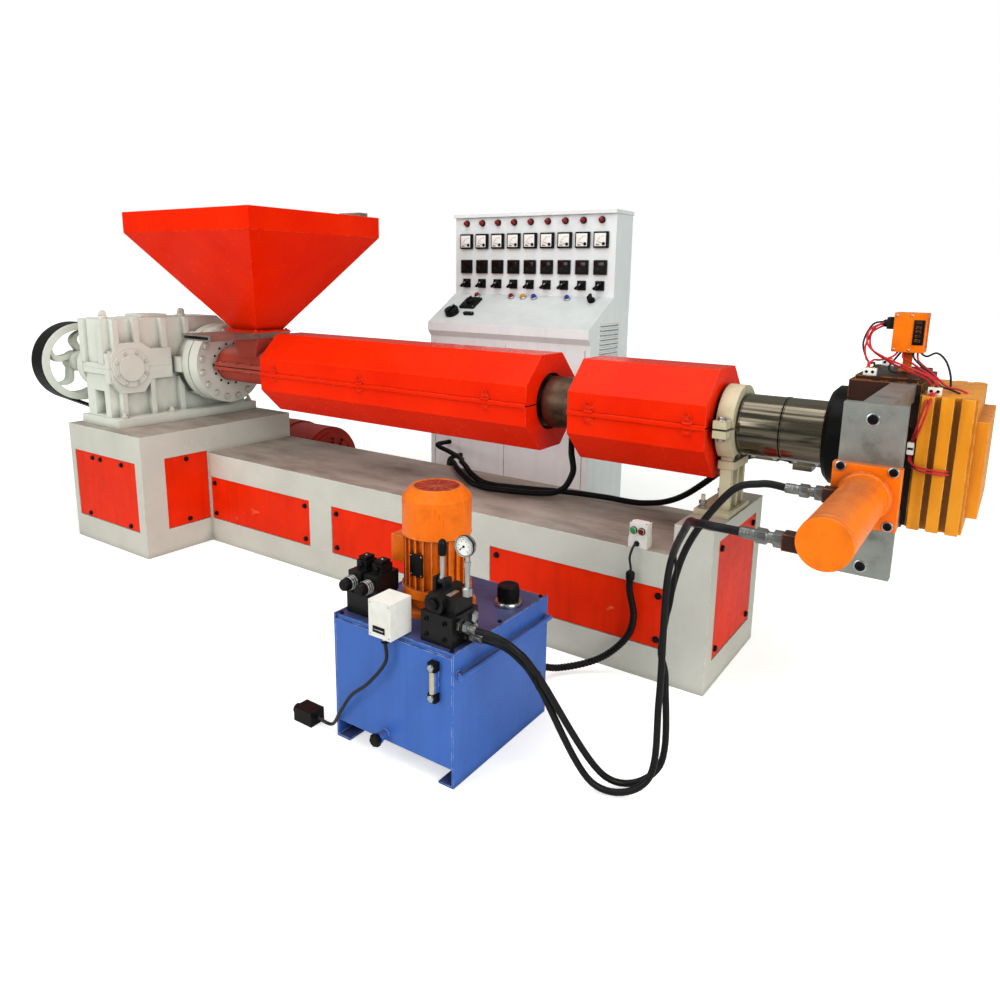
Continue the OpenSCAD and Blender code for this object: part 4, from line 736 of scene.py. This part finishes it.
def barrel_terminals():
    """Ceramic terminals with brass screws and clamp bolts on the heater bands under the guards."""
    shape = bmesh.new()
    start, end = (corner.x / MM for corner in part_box("guard_1_lid"))
    pitch = (end - start - 45) / 5
    places = [start + 75 + k * pitch + (pitch - 23) / 2 for k in range(5)]
    start, end = (corner.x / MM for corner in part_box("guard_2_lid"))
    places += [start + share * (end - start) for share in (0.25, 0.75)]
    for x in places:
        at = Vector((x, 0, AXIS_Z + 96))
        block(shape, (-22, -12, -2), (22, 12, 20), 0, 2, at)
        for dx in (-11, 11):
            terminal_screw(shape, at + Vector((dx, 0, 19)))
        for dx in (-60, 60):
            block(shape, (dx - 10, -20, -3), (dx + 10, 20, 14), 2, 2, at)
            bolt(shape, at + Vector((dx, -19, 6)), FRONT, 7, 2)
    piece("barrel_terminals", shape, [ceramic, brass, zinc])


def support_bolts():
    """Clamp bolts through the lugs of the barrel support, and nuts on its levelling studs."""
    shape = bmesh.new()
    for y in (-146, 146):
        bolt(shape, (2412.5, y, 888), UP, 14)
        bolt(shape, (2412.5, y, 832), DOWN, 14)
    for y, z in corners((-92, 576), (92, 592)):
        nut(shape, 11.5, 11, 10.2, 12.5, (2350, y, z), UP)
    piece("support_bolts", shape, [zinc])


def heater_band_trim():
    """Rolled beads and clamp screws on the polished end heaters."""
    start, end = (corner.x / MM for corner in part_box("end_heaters"))
    shape = bmesh.new()
    middle = (start + end) / 2
    for x in (start + 6, middle - 3.5, middle + 3.5, end - 6):
        hoop(shape, (x, 0, AXIS_Z), RIGHT, 99.5, 2.6, 0, 64)
    piece("heater_band_beads", shape, [polished_sheet])
    screws = bmesh.new()
    for dx in (-100, -32, 32, 100):
        bolt(screws, (middle + dx, 10, 757), FRONT, 7)
    piece("heater_band_screws", screws, [zinc])


# FITTINGS ON SCREEN CHANGER AND DIE

def sunk_screw(shape, at, size):
    """Cap screw that faces the front in a bright counterbore; size is the diameter of the bore."""
    r = size / 2
    turned(shape, [(r, -1), (r, 1.2), (0.86 * r, 2.2), (0.76 * r, 2.2), (0.74 * r, 0.4)], at, FRONT, 1, 28)
    turned(shape, [(0.70 * r, 0), (0.70 * r, 4), (0.64 * r, 4.8), (0.36 * r, 4.8, True), (0.36 * r, 1, True)],
           at, FRONT)


def head_screws():
    """Cap screws in the cylinder plate and in the cylinder's flange, and bolts of the black flange."""
    shape = bmesh.new()
    for x, z in ((2914, 1020.5), (2921, 675)):
        sunk_screw(shape, (x, PLATE_Y, z), 30)
    for dx, dz in corners((-55, -60), (55, 64)):
        sunk_screw(shape, (CHANGER_X + dx, -668, CYLINDER_Z + dz), 24)
    piece("head_cap_screws", shape, [black_oxide, zinc])
    ring = bmesh.new()
    for way in circle(12, 0.5):
        bolt(ring, Vector((2724, 0, AXIS_Z)) + way * 122, LEFT, 13)
    piece("barrel_flange_bolts", ring, [black_oxide])


def cylinder_trim():
    """Weld bead at the flange and a thin bead at the end cap of the hydraulic cylinder."""
    shape = bmesh.new()
    hoop(shape, (CHANGER_X, -680, CYLINDER_Z), FRONT, 52.5, 4, 0, 48)
    hoop(shape, (CHANGER_X, -1045, CYLINDER_Z), FRONT, 51.5, 1.3, 0, 48)
    piece("cylinder_weld_beads", shape, [orange_enamel])


def heater_terminals():
    """Ceramic terminal blocks of the plate heaters, the white plug of the slide heater and the box's window."""
    shape = bmesh.new()
    for at in (Vector((2824, -160, 1068)), Vector((2990, -175, 1030)), Vector((2824, 160, 1068))):
        block(shape, (-17, -10, -1), (17, 10, 20), 0, 2, at)
        for dx in (-8, 8):
            terminal_screw(shape, at + Vector((dx, 0, 19)))
            turned(shape, [(4.2, 0), (4.2, 1.2), (3, 1.4)], at + Vector((dx, -9.5, 10)), FRONT, 2, 12)
    block(shape, (2944, -222, 868), (2962, -194, 902), 0, 3)
    block(shape, (2946, -223.5, 882), (2960, -221.5, 888), 2, 0.8)
    piece("heater_terminals", shape, [ceramic, brass, black_abs])
    window = bmesh.new()
    block(window, (2906, -42.5, 1149), (2934, -39, 1219), 0, 1.2)
    for k in range(5):
        z = 1157 + 12.5 * k
        block(window, (2912, -44, z), (2926, -42, z + 8), 1, 0.8)
    block(window, (2834, -28, 1190), (2854.5, 12, 1224), 2, 2)
    turned(window, [(11, 0), (11, 10), (8, 14)], (2836, -8, 1206), LEFT, 2, 18)
    for x, z in corners((2861, 1134), (2899, 1231)):
        pan_screw(window, (x, -40, z), FRONT, 7, 3)
    piece("junction_box_window", window, [black_abs, burnt_enamel, valve_iron, zinc])


HEAD_WIRES = {
    "red_wire_1": [
        (2826, -8, 1206), (2800, -12, 1190), (2786, -40, 1140), (2800, -95, 1108), (2814, -140, 1104),
        (2816, -160, 1089)],
    "black_wire_1": [
        (2826, -4, 1210), (2794, -6, 1200), (2778, -34, 1146), (2806, -90, 1098), (2828, -132, 1100),
        (2832, -160, 1089)],
    "red_wire_2": [
        (2826, -12, 1200), (2796, -20, 1176), (2806, -60, 1134), (2856, -116, 1108), (2920, -170, 1088),
        (2966, -176, 1070), (2982, -175, 1051)],
    "red_wire_3": [
        (2826, -16, 1208), (2790, -26, 1184), (2798, -66, 1142), (2852, -124, 1116), (2926, -178, 1096),
        (2976, -184, 1076), (2998, -175, 1051)],
    "red_wire_4": [
        (2872, -26, 1128), (2862, -50, 1114), (2838, -92, 1106), (2826, -128, 1108), (2820, -150, 1100),
        (2820, -158, 1089)],
    "red_wire_5": [
        (2886, -26, 1128), (2890, -52, 1112), (2922, -92, 1100), (2960, -132, 1082), (2988, -158, 1068),
        (2990, -173, 1051)],
    "black_wire_2": [
        (2880, -20, 1128), (2868, -44, 1106), (2858, -72, 1084), (2872, -92, 1074), (2894, -84, 1074),
        (2902, -60, 1072)],
    "black_wire_3": [
        (2912, -26, 1128), (2918, -50, 1112), (2950, -80, 1086), (2990, -110, 1050), (3020, -120, 1041),
        (3046, -120, 1031)],
    "black_wire_4": [
        (2926, -12, 1128), (2946, -26, 1118), (2972, -40, 1130), (2996, -40, 1110), (3012, -40, 1070),
        (3016, -40, 1031)],
    "red_wire_6": [
        (2922, -20, 1128), (2930, -50, 1106), (2966, -76, 1080), (3010, -96, 1046), (3040, -100, 1040),
        (3062, -100, 1031)],
    "red_wire_7": [
        (2985, -185, 1036), (2980, -215, 1030), (2972, -240, 990), (2962, -236, 940), (2955, -216, 915),
        (2953, -208, 901)],
    "red_wire_8": [
        (2993, -185, 1036), (2988, -220, 1028), (2982, -246, 988), (2970, -242, 938), (2960, -220, 915),
        (2957, -208, 901)],
    "red_wire_9": [
        (2951, -208, 869), (2953, -218, 852), (2972, -238, 842), (3004, -240, 838), (3030, -236, 836),
        (3046, -224, 836)],
    "red_wire_10": [
        (2956, -208, 869), (2959, -220, 846), (2976, -240, 834), (3006, -242, 830), (3032, -238, 828),
        (3048, -224, 828)],
}


def head_wiring():
    """Short silicone wires from the junction box to the heaters of screen changer and die."""
    for name, points in HEAD_WIRES.items():
        route = smooth_route(points, 6)
        shape = bmesh.new()
        tube(shape, route, 2.9, 8)
        made = piece(name, shape, [red_wire if name.startswith("red") else black_wire])


# FITTINGS ON THE HYDRAULIC UNIT

def hose_fitting(shape, start, axis, fixed):
    """Hose end: ferrule, swivel nut and adaptor nut, from the hose towards what it screws into."""
    f = fixed
    turned(shape, [(10.4, -4), (11.8, -2), (11.8, 0.24 * f), (11.2, 0.26 * f)], start, axis, 0, 20)
    for k in range(3):
        a = (0.02 + 0.07 * k) * f
        turned(shape, [(11.7, a), (12.3, a + 1), (12.3, a + 3), (11.7, a + 4)], start, axis, 0, 20)
    turned(shape, [(11.5, 0.25 * f), (11.5, 0.5 * f), (11.5, 0.80 * f)], start, axis, 0, 20)
    turned(shape, [(11.6, 0.34 * f), (13.8, 0.36 * f, True), (13.8, 0.60 * f, True), (12, 0.64 * f)], start, axis)
    turned(shape, [(12.4, 0.76 * f), (15, 0.78 * f, True), (15, 0.97 * f, True), (14, 1.01 * f)], start, axis)


def hose_fittings():
    """Oily fittings where the two hoses leave the valve and enter the cylinder, and the cylinder's port blocks."""
    shape = bmesh.new()
    for y, z in ((-1040, 440), (-1010, 404)):
        hose_fitting(shape, (2110, y, z), LEFT, 55)
    blocks = bmesh.new()
    for y, z in ((-700, 849), (-1035, 833)):
        hose_fitting(shape, (2757, y, z), RIGHT, 81)
        block(blocks, (2837, y - 17, z - 17), (2872, y + 17, z + 17), 0, 2)
    piece("hose_fittings", shape, [oily_steel])
    piece("port_blocks", blocks, [burnt_enamel])


def pump_motor_trim():
    """Grille in the fan cowl over a dark red disc of painted shade, rim, foot bolts and blank plate of the pump
    motor.
    """
    shape = bmesh.new()
    top = PUMP + UP * 738.5
    for k in range(8):
        hoop(shape, top, UP, 6 + 7.5 * k, 1.6, 1, 40)
    for way in circle(12, flat=True):
        tube(shape, [top + way * r for r in (4, 34, 64)], 1.4, 6)
    # Painted shade: a dark red disc under the grille rings stands for the shade inside the fan cowl.
    turned(shape, [(66, -3), (66, 0.4), (64, 0.8)], top, UP, 1, 40)
    hoop(shape, PUMP + UP * 608, UP, 98.5, 2.2, 0, 56)
    for way in circle(4, 0.5, flat=True):
        bolt(shape, PUMP + UP * 397 + way * 103, UP, 8)
    piece("pump_motor_grille", shape, [orange_enamel, motor_enamel])
    plate = bmesh.new()
    block(plate, (1828, -967.5, 500), (1872, -963, 565), 0, 0.8)
    for x, z in corners((1832, 505), (1868, 560)):
        pan_screw(plate, (x, -967.5, z), FRONT, 4, 1)
    piece("pump_motor_plate", plate, [black_abs, zinc])


def gauge():
    """Pressure gauge: stem with its nut, steel case, bezel with black seals, printed dial and pointer."""
    shape = bmesh.new()
    foot = Vector((GAUGE.x, GAUGE.y + 14, 508))
    nut(shape, 12.5, 20, 9.5, 23, foot, UP)
    turned(shape, [(7.5, 20), (7.5, 86), (6, 88), (6, 118)], foot, UP, 0, 18)
    nut(shape, 9, 12, 7.5, 14, foot + UP * 80, UP)
    for slot, profile in (
            (0, [(22.5, -18), (26.8, -16), (26.8, -6), (27.8, -5)]),
            (2, [(28.4, -6), (29, -5), (29, -1), (28.4, 0)]),
            (0, [(28.2, -1), (28.2, 3), (27.4, 4.5), (25.2, 4.6), (25, 1.2)]),
            (2, [(25.1, 0.4), (25.1, 1.6), (23.6, 1.6)]),
            (1, [(23.8, 0.4), (23.8, 1.8), (22.8, 1.9)])):
        turned(shape, profile, GAUGE, FRONT, slot, 48)
    face = GAUGE + FRONT * 2
    dial_marks(shape, face, 21.2, 21, -135, 135, 2, 4.2, 0.9)
    dial_marks(shape, face, 15.8, 6, -135, 135, 2, 2.6, 2.2)
    needle(shape, face, 16.5, -128, 2)
    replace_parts(piece("gauge", shape, [zinc, dial_card, black_abs]), "pressure_gauge")


def valve_trim():
    """Bright lever with a black grip, blank plate, screws and plugs of the valves, sleeves of the solenoids."""
    lever = bmesh.new()
    turned(lever, [(8.5, 8), (8.5, 14), (6.6, 16), (6.6, 76), (6, 78)], LEVER, UP, 0, 18)
    turned(lever, [(10, 72), (11.8, 78), (12.2, 92), (11.4, 104), (8.2, 113), (3, 116.5)], LEVER, UP, 1, 20)
    piece("lever_grip", lever, [zinc, black_abs], "valve_lever")

    shape = bmesh.new()
    block(shape, (1990, -1036, 508.5), (2026, -996, 511), 1, 0.6)
    for x in (1994, 2022):
        pan_screw(shape, (x, -1016, 511), UP, 4)
    for x, z in corners((1970, 402), (2030, 446)):
        socket_screw(shape, (x, -1067, z), FRONT, 13, 2)
    nut(shape, 15, 8, 12, 10, (1991, -1063, 489), FRONT, 2)
    for z in (408, 440):
        nut(shape, 14.5, 6, 11, 8, (2055, -975, z), RIGHT)
    for x in (1691, 1751):
        for y in (-1050.5, -1058.5, -1066.5):
            turned(shape, [(19.2, 0), (20.4, 1), (20.4, 4.5), (19.2, 5.5)], (x, y, 475), FRONT)
        turned(shape, [(15, 0), (16.8, 2), (16.8, 13), (14, 18), (6, 18.5)], (x, -1074.5, 475), FRONT, 3)
        block(shape, (x - 15, -1014, 526), (x + 15, -978, 538), 3, 3)
        pan_screw(shape, (x, -996, 538), UP, 7)
        turned(shape, [(8.5, 0), (8.5, 12), (6.2, 15)], (x, -1014, 515.5), FRONT, 3, 16)
    for x, y in corners((1674, -1046), (1768, -970)):
        socket_screw(shape, (x, y, 443), UP, 10, 2)
    piece("valve_trim", shape, [zinc, galvanised, black_oxide, black_abs])


def tank_trim():
    """Filler cap ribs and ring, level gauge glass, drain plug, junction box window and screws, lid screws."""
    shape = bmesh.new()
    turned(shape, [(38.5, 0), (40.5, 2), (40.5, 8), (37.5, 12.5), (33, 12.8)], FILLER, UP, 0, 40)
    for k in range(22):
        spin = Matrix.Translation(FILLER) @ Matrix.Rotation(2 * math.pi * k / 22, 4, "Z")
        block(shape, (30, -1.8, 18), (32.5, 1.8, 52), 1, 0.7, spin)
    turned(shape, [(31, 52), (31.5, 56), (29, 60.5), (18, 61), (16.5, 59)], FILLER, UP, 1, 40)
    for z in (252, 338):
        block(shape, (2006, -1108, z - 13), (2032, -1088.5, z + 13), 1, 2)
        nut(shape, 8.5, 5, 7, 6.5, (2019, -1108, z), FRONT)
    turned(shape, [(6.5, 0), (7.2, 1), (7.2, 61), (6.5, 62)], (2019, -1104.5, 264), UP, 2, 18)
    nut(shape, 16.5, 12, 14, 15, (1839, -1122, 75), FRONT, 1)
    for x in (1666, 2060):
        for y in (-1074, -858, -642):
            bolt(shape, (x, y, 381), UP, 6, 1)
    piece("tank_trim", shape, [zinc, black_abs, oil_glass])

    box = bmesh.new()
    block(box, (1842, -1134.5, 399), (1884, -1132, 417), 1, 0.8)
    block(box, (1846, -1135.2, 406.5), (1880, -1134, 408.5), 2, 0.3)
    for x, z in corners((1833, 392), (1899, 480)):
        pan_screw(box, (x, -1133, z), FRONT, 5, 2)
    block(box, (1826, -1112.5, 386), (1906, -1111.5, 486.5), 0, 0.4)
    nut(box, 9.8, 7, 8, 10, (1866, -1113, 374), DOWN, 1)
    piece("tank_junction_trim", box, [white_abs, black_abs, zinc])


def pendant_trim():
    """Bezels and caps of the push buttons, cover screws and cable nut of the box on the bed."""
    shape = bmesh.new()
    for x, slot in ((2180, 2), (2209, 3)):
        turned(shape, [(12.5, 0), (12.5, 4), (10.5, 5)], (x, -255, 510), FRONT, 1, 24)
        turned(shape, [(9.2, 4), (9.6, 9), (8, 11.5), (3, 12)], (x, -255, 510), FRONT, slot, 20)
    for x, y in corners((2167, -249), (2221, -217)):
        pan_screw(shape, (x, y, 535), UP, 5, 1)
    block(shape, (2163.5, -256, 485), (2226.5, -211.5, 487), 0, 0.6)
    nut(shape, 8.5, 6, 6, 9, (2194, -256, 466), FRONT, 1)
    turned(shape, [(14, -4), (15, 0), (15, 18), (11, 24)], (2192, -292, 356), UP, 1, 20)
    piece("pendant_trim", shape, [white_abs, black_abs, green_cap, red_lens])


# FITTINGS ON THE CONTROL CABINET

def row(depth, z):
    """Places of a row of instruments, this far in front of the panel."""
    return [Vector((ROW_X + k * ROW_PITCH, PANEL_Y - depth, z)) for k in range(ROW_COUNT)]


def meter_faces():
    """White cards with marks and a pointer in the square meters."""
    shape = bmesh.new()
    for k, at in enumerate(row(18, METER_Z)):
        block(shape, (-31.5, -1.2, -31.5), (31.5, 1, 31.5), 0, 0.8, at)
        pivot = at + Vector((20, -1.4, -20))
        dial_marks(shape, pivot, 42, 9, -90, 0, 1, 8, 1.4)
        needle(shape, pivot, 34, -78 + 3 * (k % 3), 1)
        turned(shape, [(8.5, -0.5), (8.5, 2), (6.5, 2.6)], pivot, FRONT, 1, 20)
        block(shape, (-24, -1.8, -27), (-4, -1, -23), 1, 0.3, at)
    piece("meter_faces", shape, [dial_card, black_abs])


def controller_faces():
    """Smoked display, keys and pilot lights on the temperature controllers, and the switches' pointer handles."""
    shape = bmesh.new()
    turn = Matrix.Rotation(math.radians(52), 4, "Y")
    for at, knob in zip(row(15, CONTROLLER_Z), row(32.5, SWITCH_Z)):
        block(shape, (-25, -1.4, 0), (25, 1, 25), 0, 0.8, at)
        for x in (-19.5, -6.5, 6.5, 19.5):
            block(shape, (x - 4.2, -2, -22), (x + 4.2, 0.5, -16.5), 1, 0.8, at)
        for x, slot in ((-18, 2), (-9, 3)):
            turned(shape, [(1.8, -0.5), (1.8, 1.2), (1, 1.8)], at + Vector((x, 0, -8)), FRONT, slot, 10)
        block(shape, (-6.5, -4, -30), (6.5, 12, 20), 5, 3, Matrix.Translation(knob) @ turn)
        block(shape, (-1.2, -0.6, 2), (1.2, 0.8, 12.5), 4, 0.3, Matrix.Translation(knob + FRONT * 4) @ turn)
        turned(shape, [(19.5, 0), (20.5, 2), (19.5, 4), (17.2, 4.2)], knob + BACK * 24.5, FRONT, 1, 28)
    piece("controller_faces", shape, [smoked_lens, valve_iron, red_lens, green_cap, dial_card, black_abs])


def lamp_lenses():
    """Domed dark red lenses in black bezels."""
    shape = bmesh.new()
    for at in row(0, LAMP_Z):
        turned(shape, [(16.5, -1), (17.2, 3), (17.2, 8), (15, 9.5), (12.5, 9.6)], at, FRONT, 1, 32)
        turned(shape, [(12.2, 9), (12.8, 18), (11.5, 22.5), (7.5, 25.5), (2.5, 26.5)], at, FRONT, 0, 28)
    piece("lamp_lenses", shape, [red_lens, black_abs])


def on_desk(x, up, rise=0.0):
    """A spot on the sloping desk: across, up the slope as a share of it, and above it."""
    up = up * DESK_RUN
    return DESK_CORNER + Vector((x, up * math.cos(DESK_SLOPE) - rise * math.sin(DESK_SLOPE),
                                 up * math.sin(DESK_SLOPE) + rise * math.cos(DESK_SLOPE)))


def desk_trim():
    """Bezels and coloured caps of the desk's push buttons, screws of the main switch and marks on the knob."""
    normal = Vector((0, -math.sin(DESK_SLOPE), math.cos(DESK_SLOPE)))
    tilt = Matrix.Rotation(DESK_SLOPE, 4, "X")
    shape = bmesh.new()
    for x, slot in ((171, 2), (399, 2), (474, 3), (544, 4), (747, 4)):
        at = on_desk(x, 0.9)
        turned(shape, [(17, 0), (18.2, 2), (18.2, 8), (16, 9.6), (13, 9.7)], at, normal, 0, 28)
        turned(shape, [(12.4, 8), (12.8, 18), (10.8, 21.5), (4, 22.5)], at, normal, slot, 24)
    square = Matrix.Translation(on_desk(175, 0.64, 14)) @ tilt
    block(shape, (-40, -40, -1), (40, 40, 2), 1, 1, square)
    for x, y in corners((-43, -43), (43, 43)):
        pan_screw(shape, square @ Vector((x, y, 0)), normal, 6)
    turned(shape, [(24, 0), (26, 4), (24, 16), (18, 18)], square @ Vector((0, 0, 1)), normal, 1, 32)
    block(shape, (-4, -22, 18), (4, 22, 26), 1, 1, square)
    spot = on_desk(113, 0.3, 30)
    turned(shape, [(37.5, -30), (39, -24), (39, -6), (36, 0.5)], spot, normal, 1, 36)
    block(shape, (-1.2, 10, 9.8), (1.2, 33, 10.6), 5, 0.3, Matrix.Translation(spot) @ tilt)
    for x in (-24, 24):
        pan_screw(shape, on_desk(227 + x, 0.29, 16), normal, 6)
    piece("desk_trim", shape, [zinc, black_abs, red_lens, yellow_cap, blue_cap, dial_card])


def cabinet_trim():
    """Louvre hoods on both ends, door locks and caps of the lifting holes."""
    low, high = (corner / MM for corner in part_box("cabinet"))
    shape = bmesh.new()
    for start, end in ((low.x - 2, low.x + 6), (high.x - 6, high.x + 2)):
        for k in range(8):
            block(shape, (start, 920, 929 + 23 * k), (end, 1129, 936 + 23 * k), 0, 2)
    for x in (low.x + 260, high.x - 260):
        turned(shape, [(14, 0), (14, 4), (11, 8)], (x, 830, 620), FRONT, 1, 24)
        block(shape, (x - 3, 816, 608), (x + 3, 823, 632), 1, 1)
    for x, y in corners((low.x + 120, 1120), (high.x - 120, 1180)):
        turned(shape, [(10, 0), (10, 3), (8, 5)], (x, y, high.z), UP, 1, 18)
    piece("cabinet_trim", shape, [white_powder, black_abs])


for fitting in (
        cover_plate_bolts, gearbox_bolts, feed_bolts, motor_grille, guard_latches, barrel_terminals,
        support_bolts, heater_band_trim, head_screws, cylinder_trim, heater_terminals, head_wiring,
        hose_fittings, pump_motor_trim, gauge, valve_trim, tank_trim, pendant_trim, meter_faces,
        controller_faces, lamp_lenses, desk_trim, cabinet_trim):
    fitting()


# FLOOR AND LIGHT

def studio():
    """Pale floor that melts into a white background, and plain soft light from above."""
    shape = bmesh.new()
    half = 30
    shape.faces.new([shape.verts.new((x * half, y * half, 0)) for x, y in ((-1, -1), (1, -1), (1, 1), (-1, 1))])
    mesh = bpy.data.meshes.new("pale_floor")
    shape.to_mesh(mesh)
    shape.free()
    floor = bpy.data.objects.new("pale_floor", mesh)
    bpy.context.scene.collection.objects.link(floor)
    material, tree, shader, place = new_material("pale_floor")
    shader.inputs["Base Color"].default_value = linear("#dededb")
    shader.inputs["Roughness"].default_value = 0.9
    shader.inputs["Specular IOR Level"].default_value = 0.1
    shader.inputs["Emission Color"].default_value = (1, 1, 1, 1)
    away = add(tree, "ShaderNodeVectorMath", {"operation": "DISTANCE", 1: (1.2, -0.2, 0)}, {0: place})
    glow = times(tree, spread(tree, away.outputs["Value"], 2.2, 6.0, 0.52, 1.0),
                 add(tree, "ShaderNodeLightPath").outputs["Is Camera Ray"])
    tree.links.new(glow, shader.inputs["Emission Strength"])
    mesh.materials.append(material)

    world = bpy.data.worlds.new("white_studio")
    bpy.context.scene.world = world
    world.use_nodes = True
    tree = world.node_tree
    tree.nodes.clear()
    seen = add(tree, "ShaderNodeLightPath").outputs
    shown = add(tree, "ShaderNodeMath", {"operation": "MAXIMUM"},
                {0: seen["Is Camera Ray"], 1: seen["Is Transmission Ray"]}).outputs[0]
    height = add(tree, "ShaderNodeSeparateXYZ",
                 links={0: add(tree, "ShaderNodeTexCoord").outputs["Generated"]})
    soft = add(tree, "ShaderNodeBackground", {"Color": linear("#f2f7ee")},
               {"Strength": spread(tree, height.outputs["Z"], -0.1, 0.8, 0.12, 0.52)})
    white = add(tree, "ShaderNodeBackground", {"Color": (1, 1, 1, 1), "Strength": 1.0})
    mix = add(tree, "ShaderNodeMixShader", links={0: shown, 1: soft.outputs[0], 2: white.outputs[0]})
    add(tree, "ShaderNodeOutputWorld", links={"Surface": mix.outputs[0]})

    for name, at, aim, size, power in (
            ("overhead_softbox", (1.0, -1.0, 4.6), (1.2, 0, 0.6), 3.2, 90),
            ("right_softbox", (6.2, -2.4, 2.6), (1.6, -0.2, 0.7), 3.0, 160),
            ("left_softbox", (-0.6, -5.4, 2.6), (0.8, 0, 0.7), 3.0, 118)):
        lamp = bpy.data.lights.new(name, "AREA")
        lamp.size = size
        lamp.energy = power
        made = bpy.data.objects.new(name, lamp)
        made.location = at
        made.rotation_euler = (Vector(aim) - Vector(at)).to_track_quat("-Z", "Y").to_euler()
        bpy.context.scene.collection.objects.link(made)
    bpy.context.scene.view_settings.view_transform = "Standard"


studio()
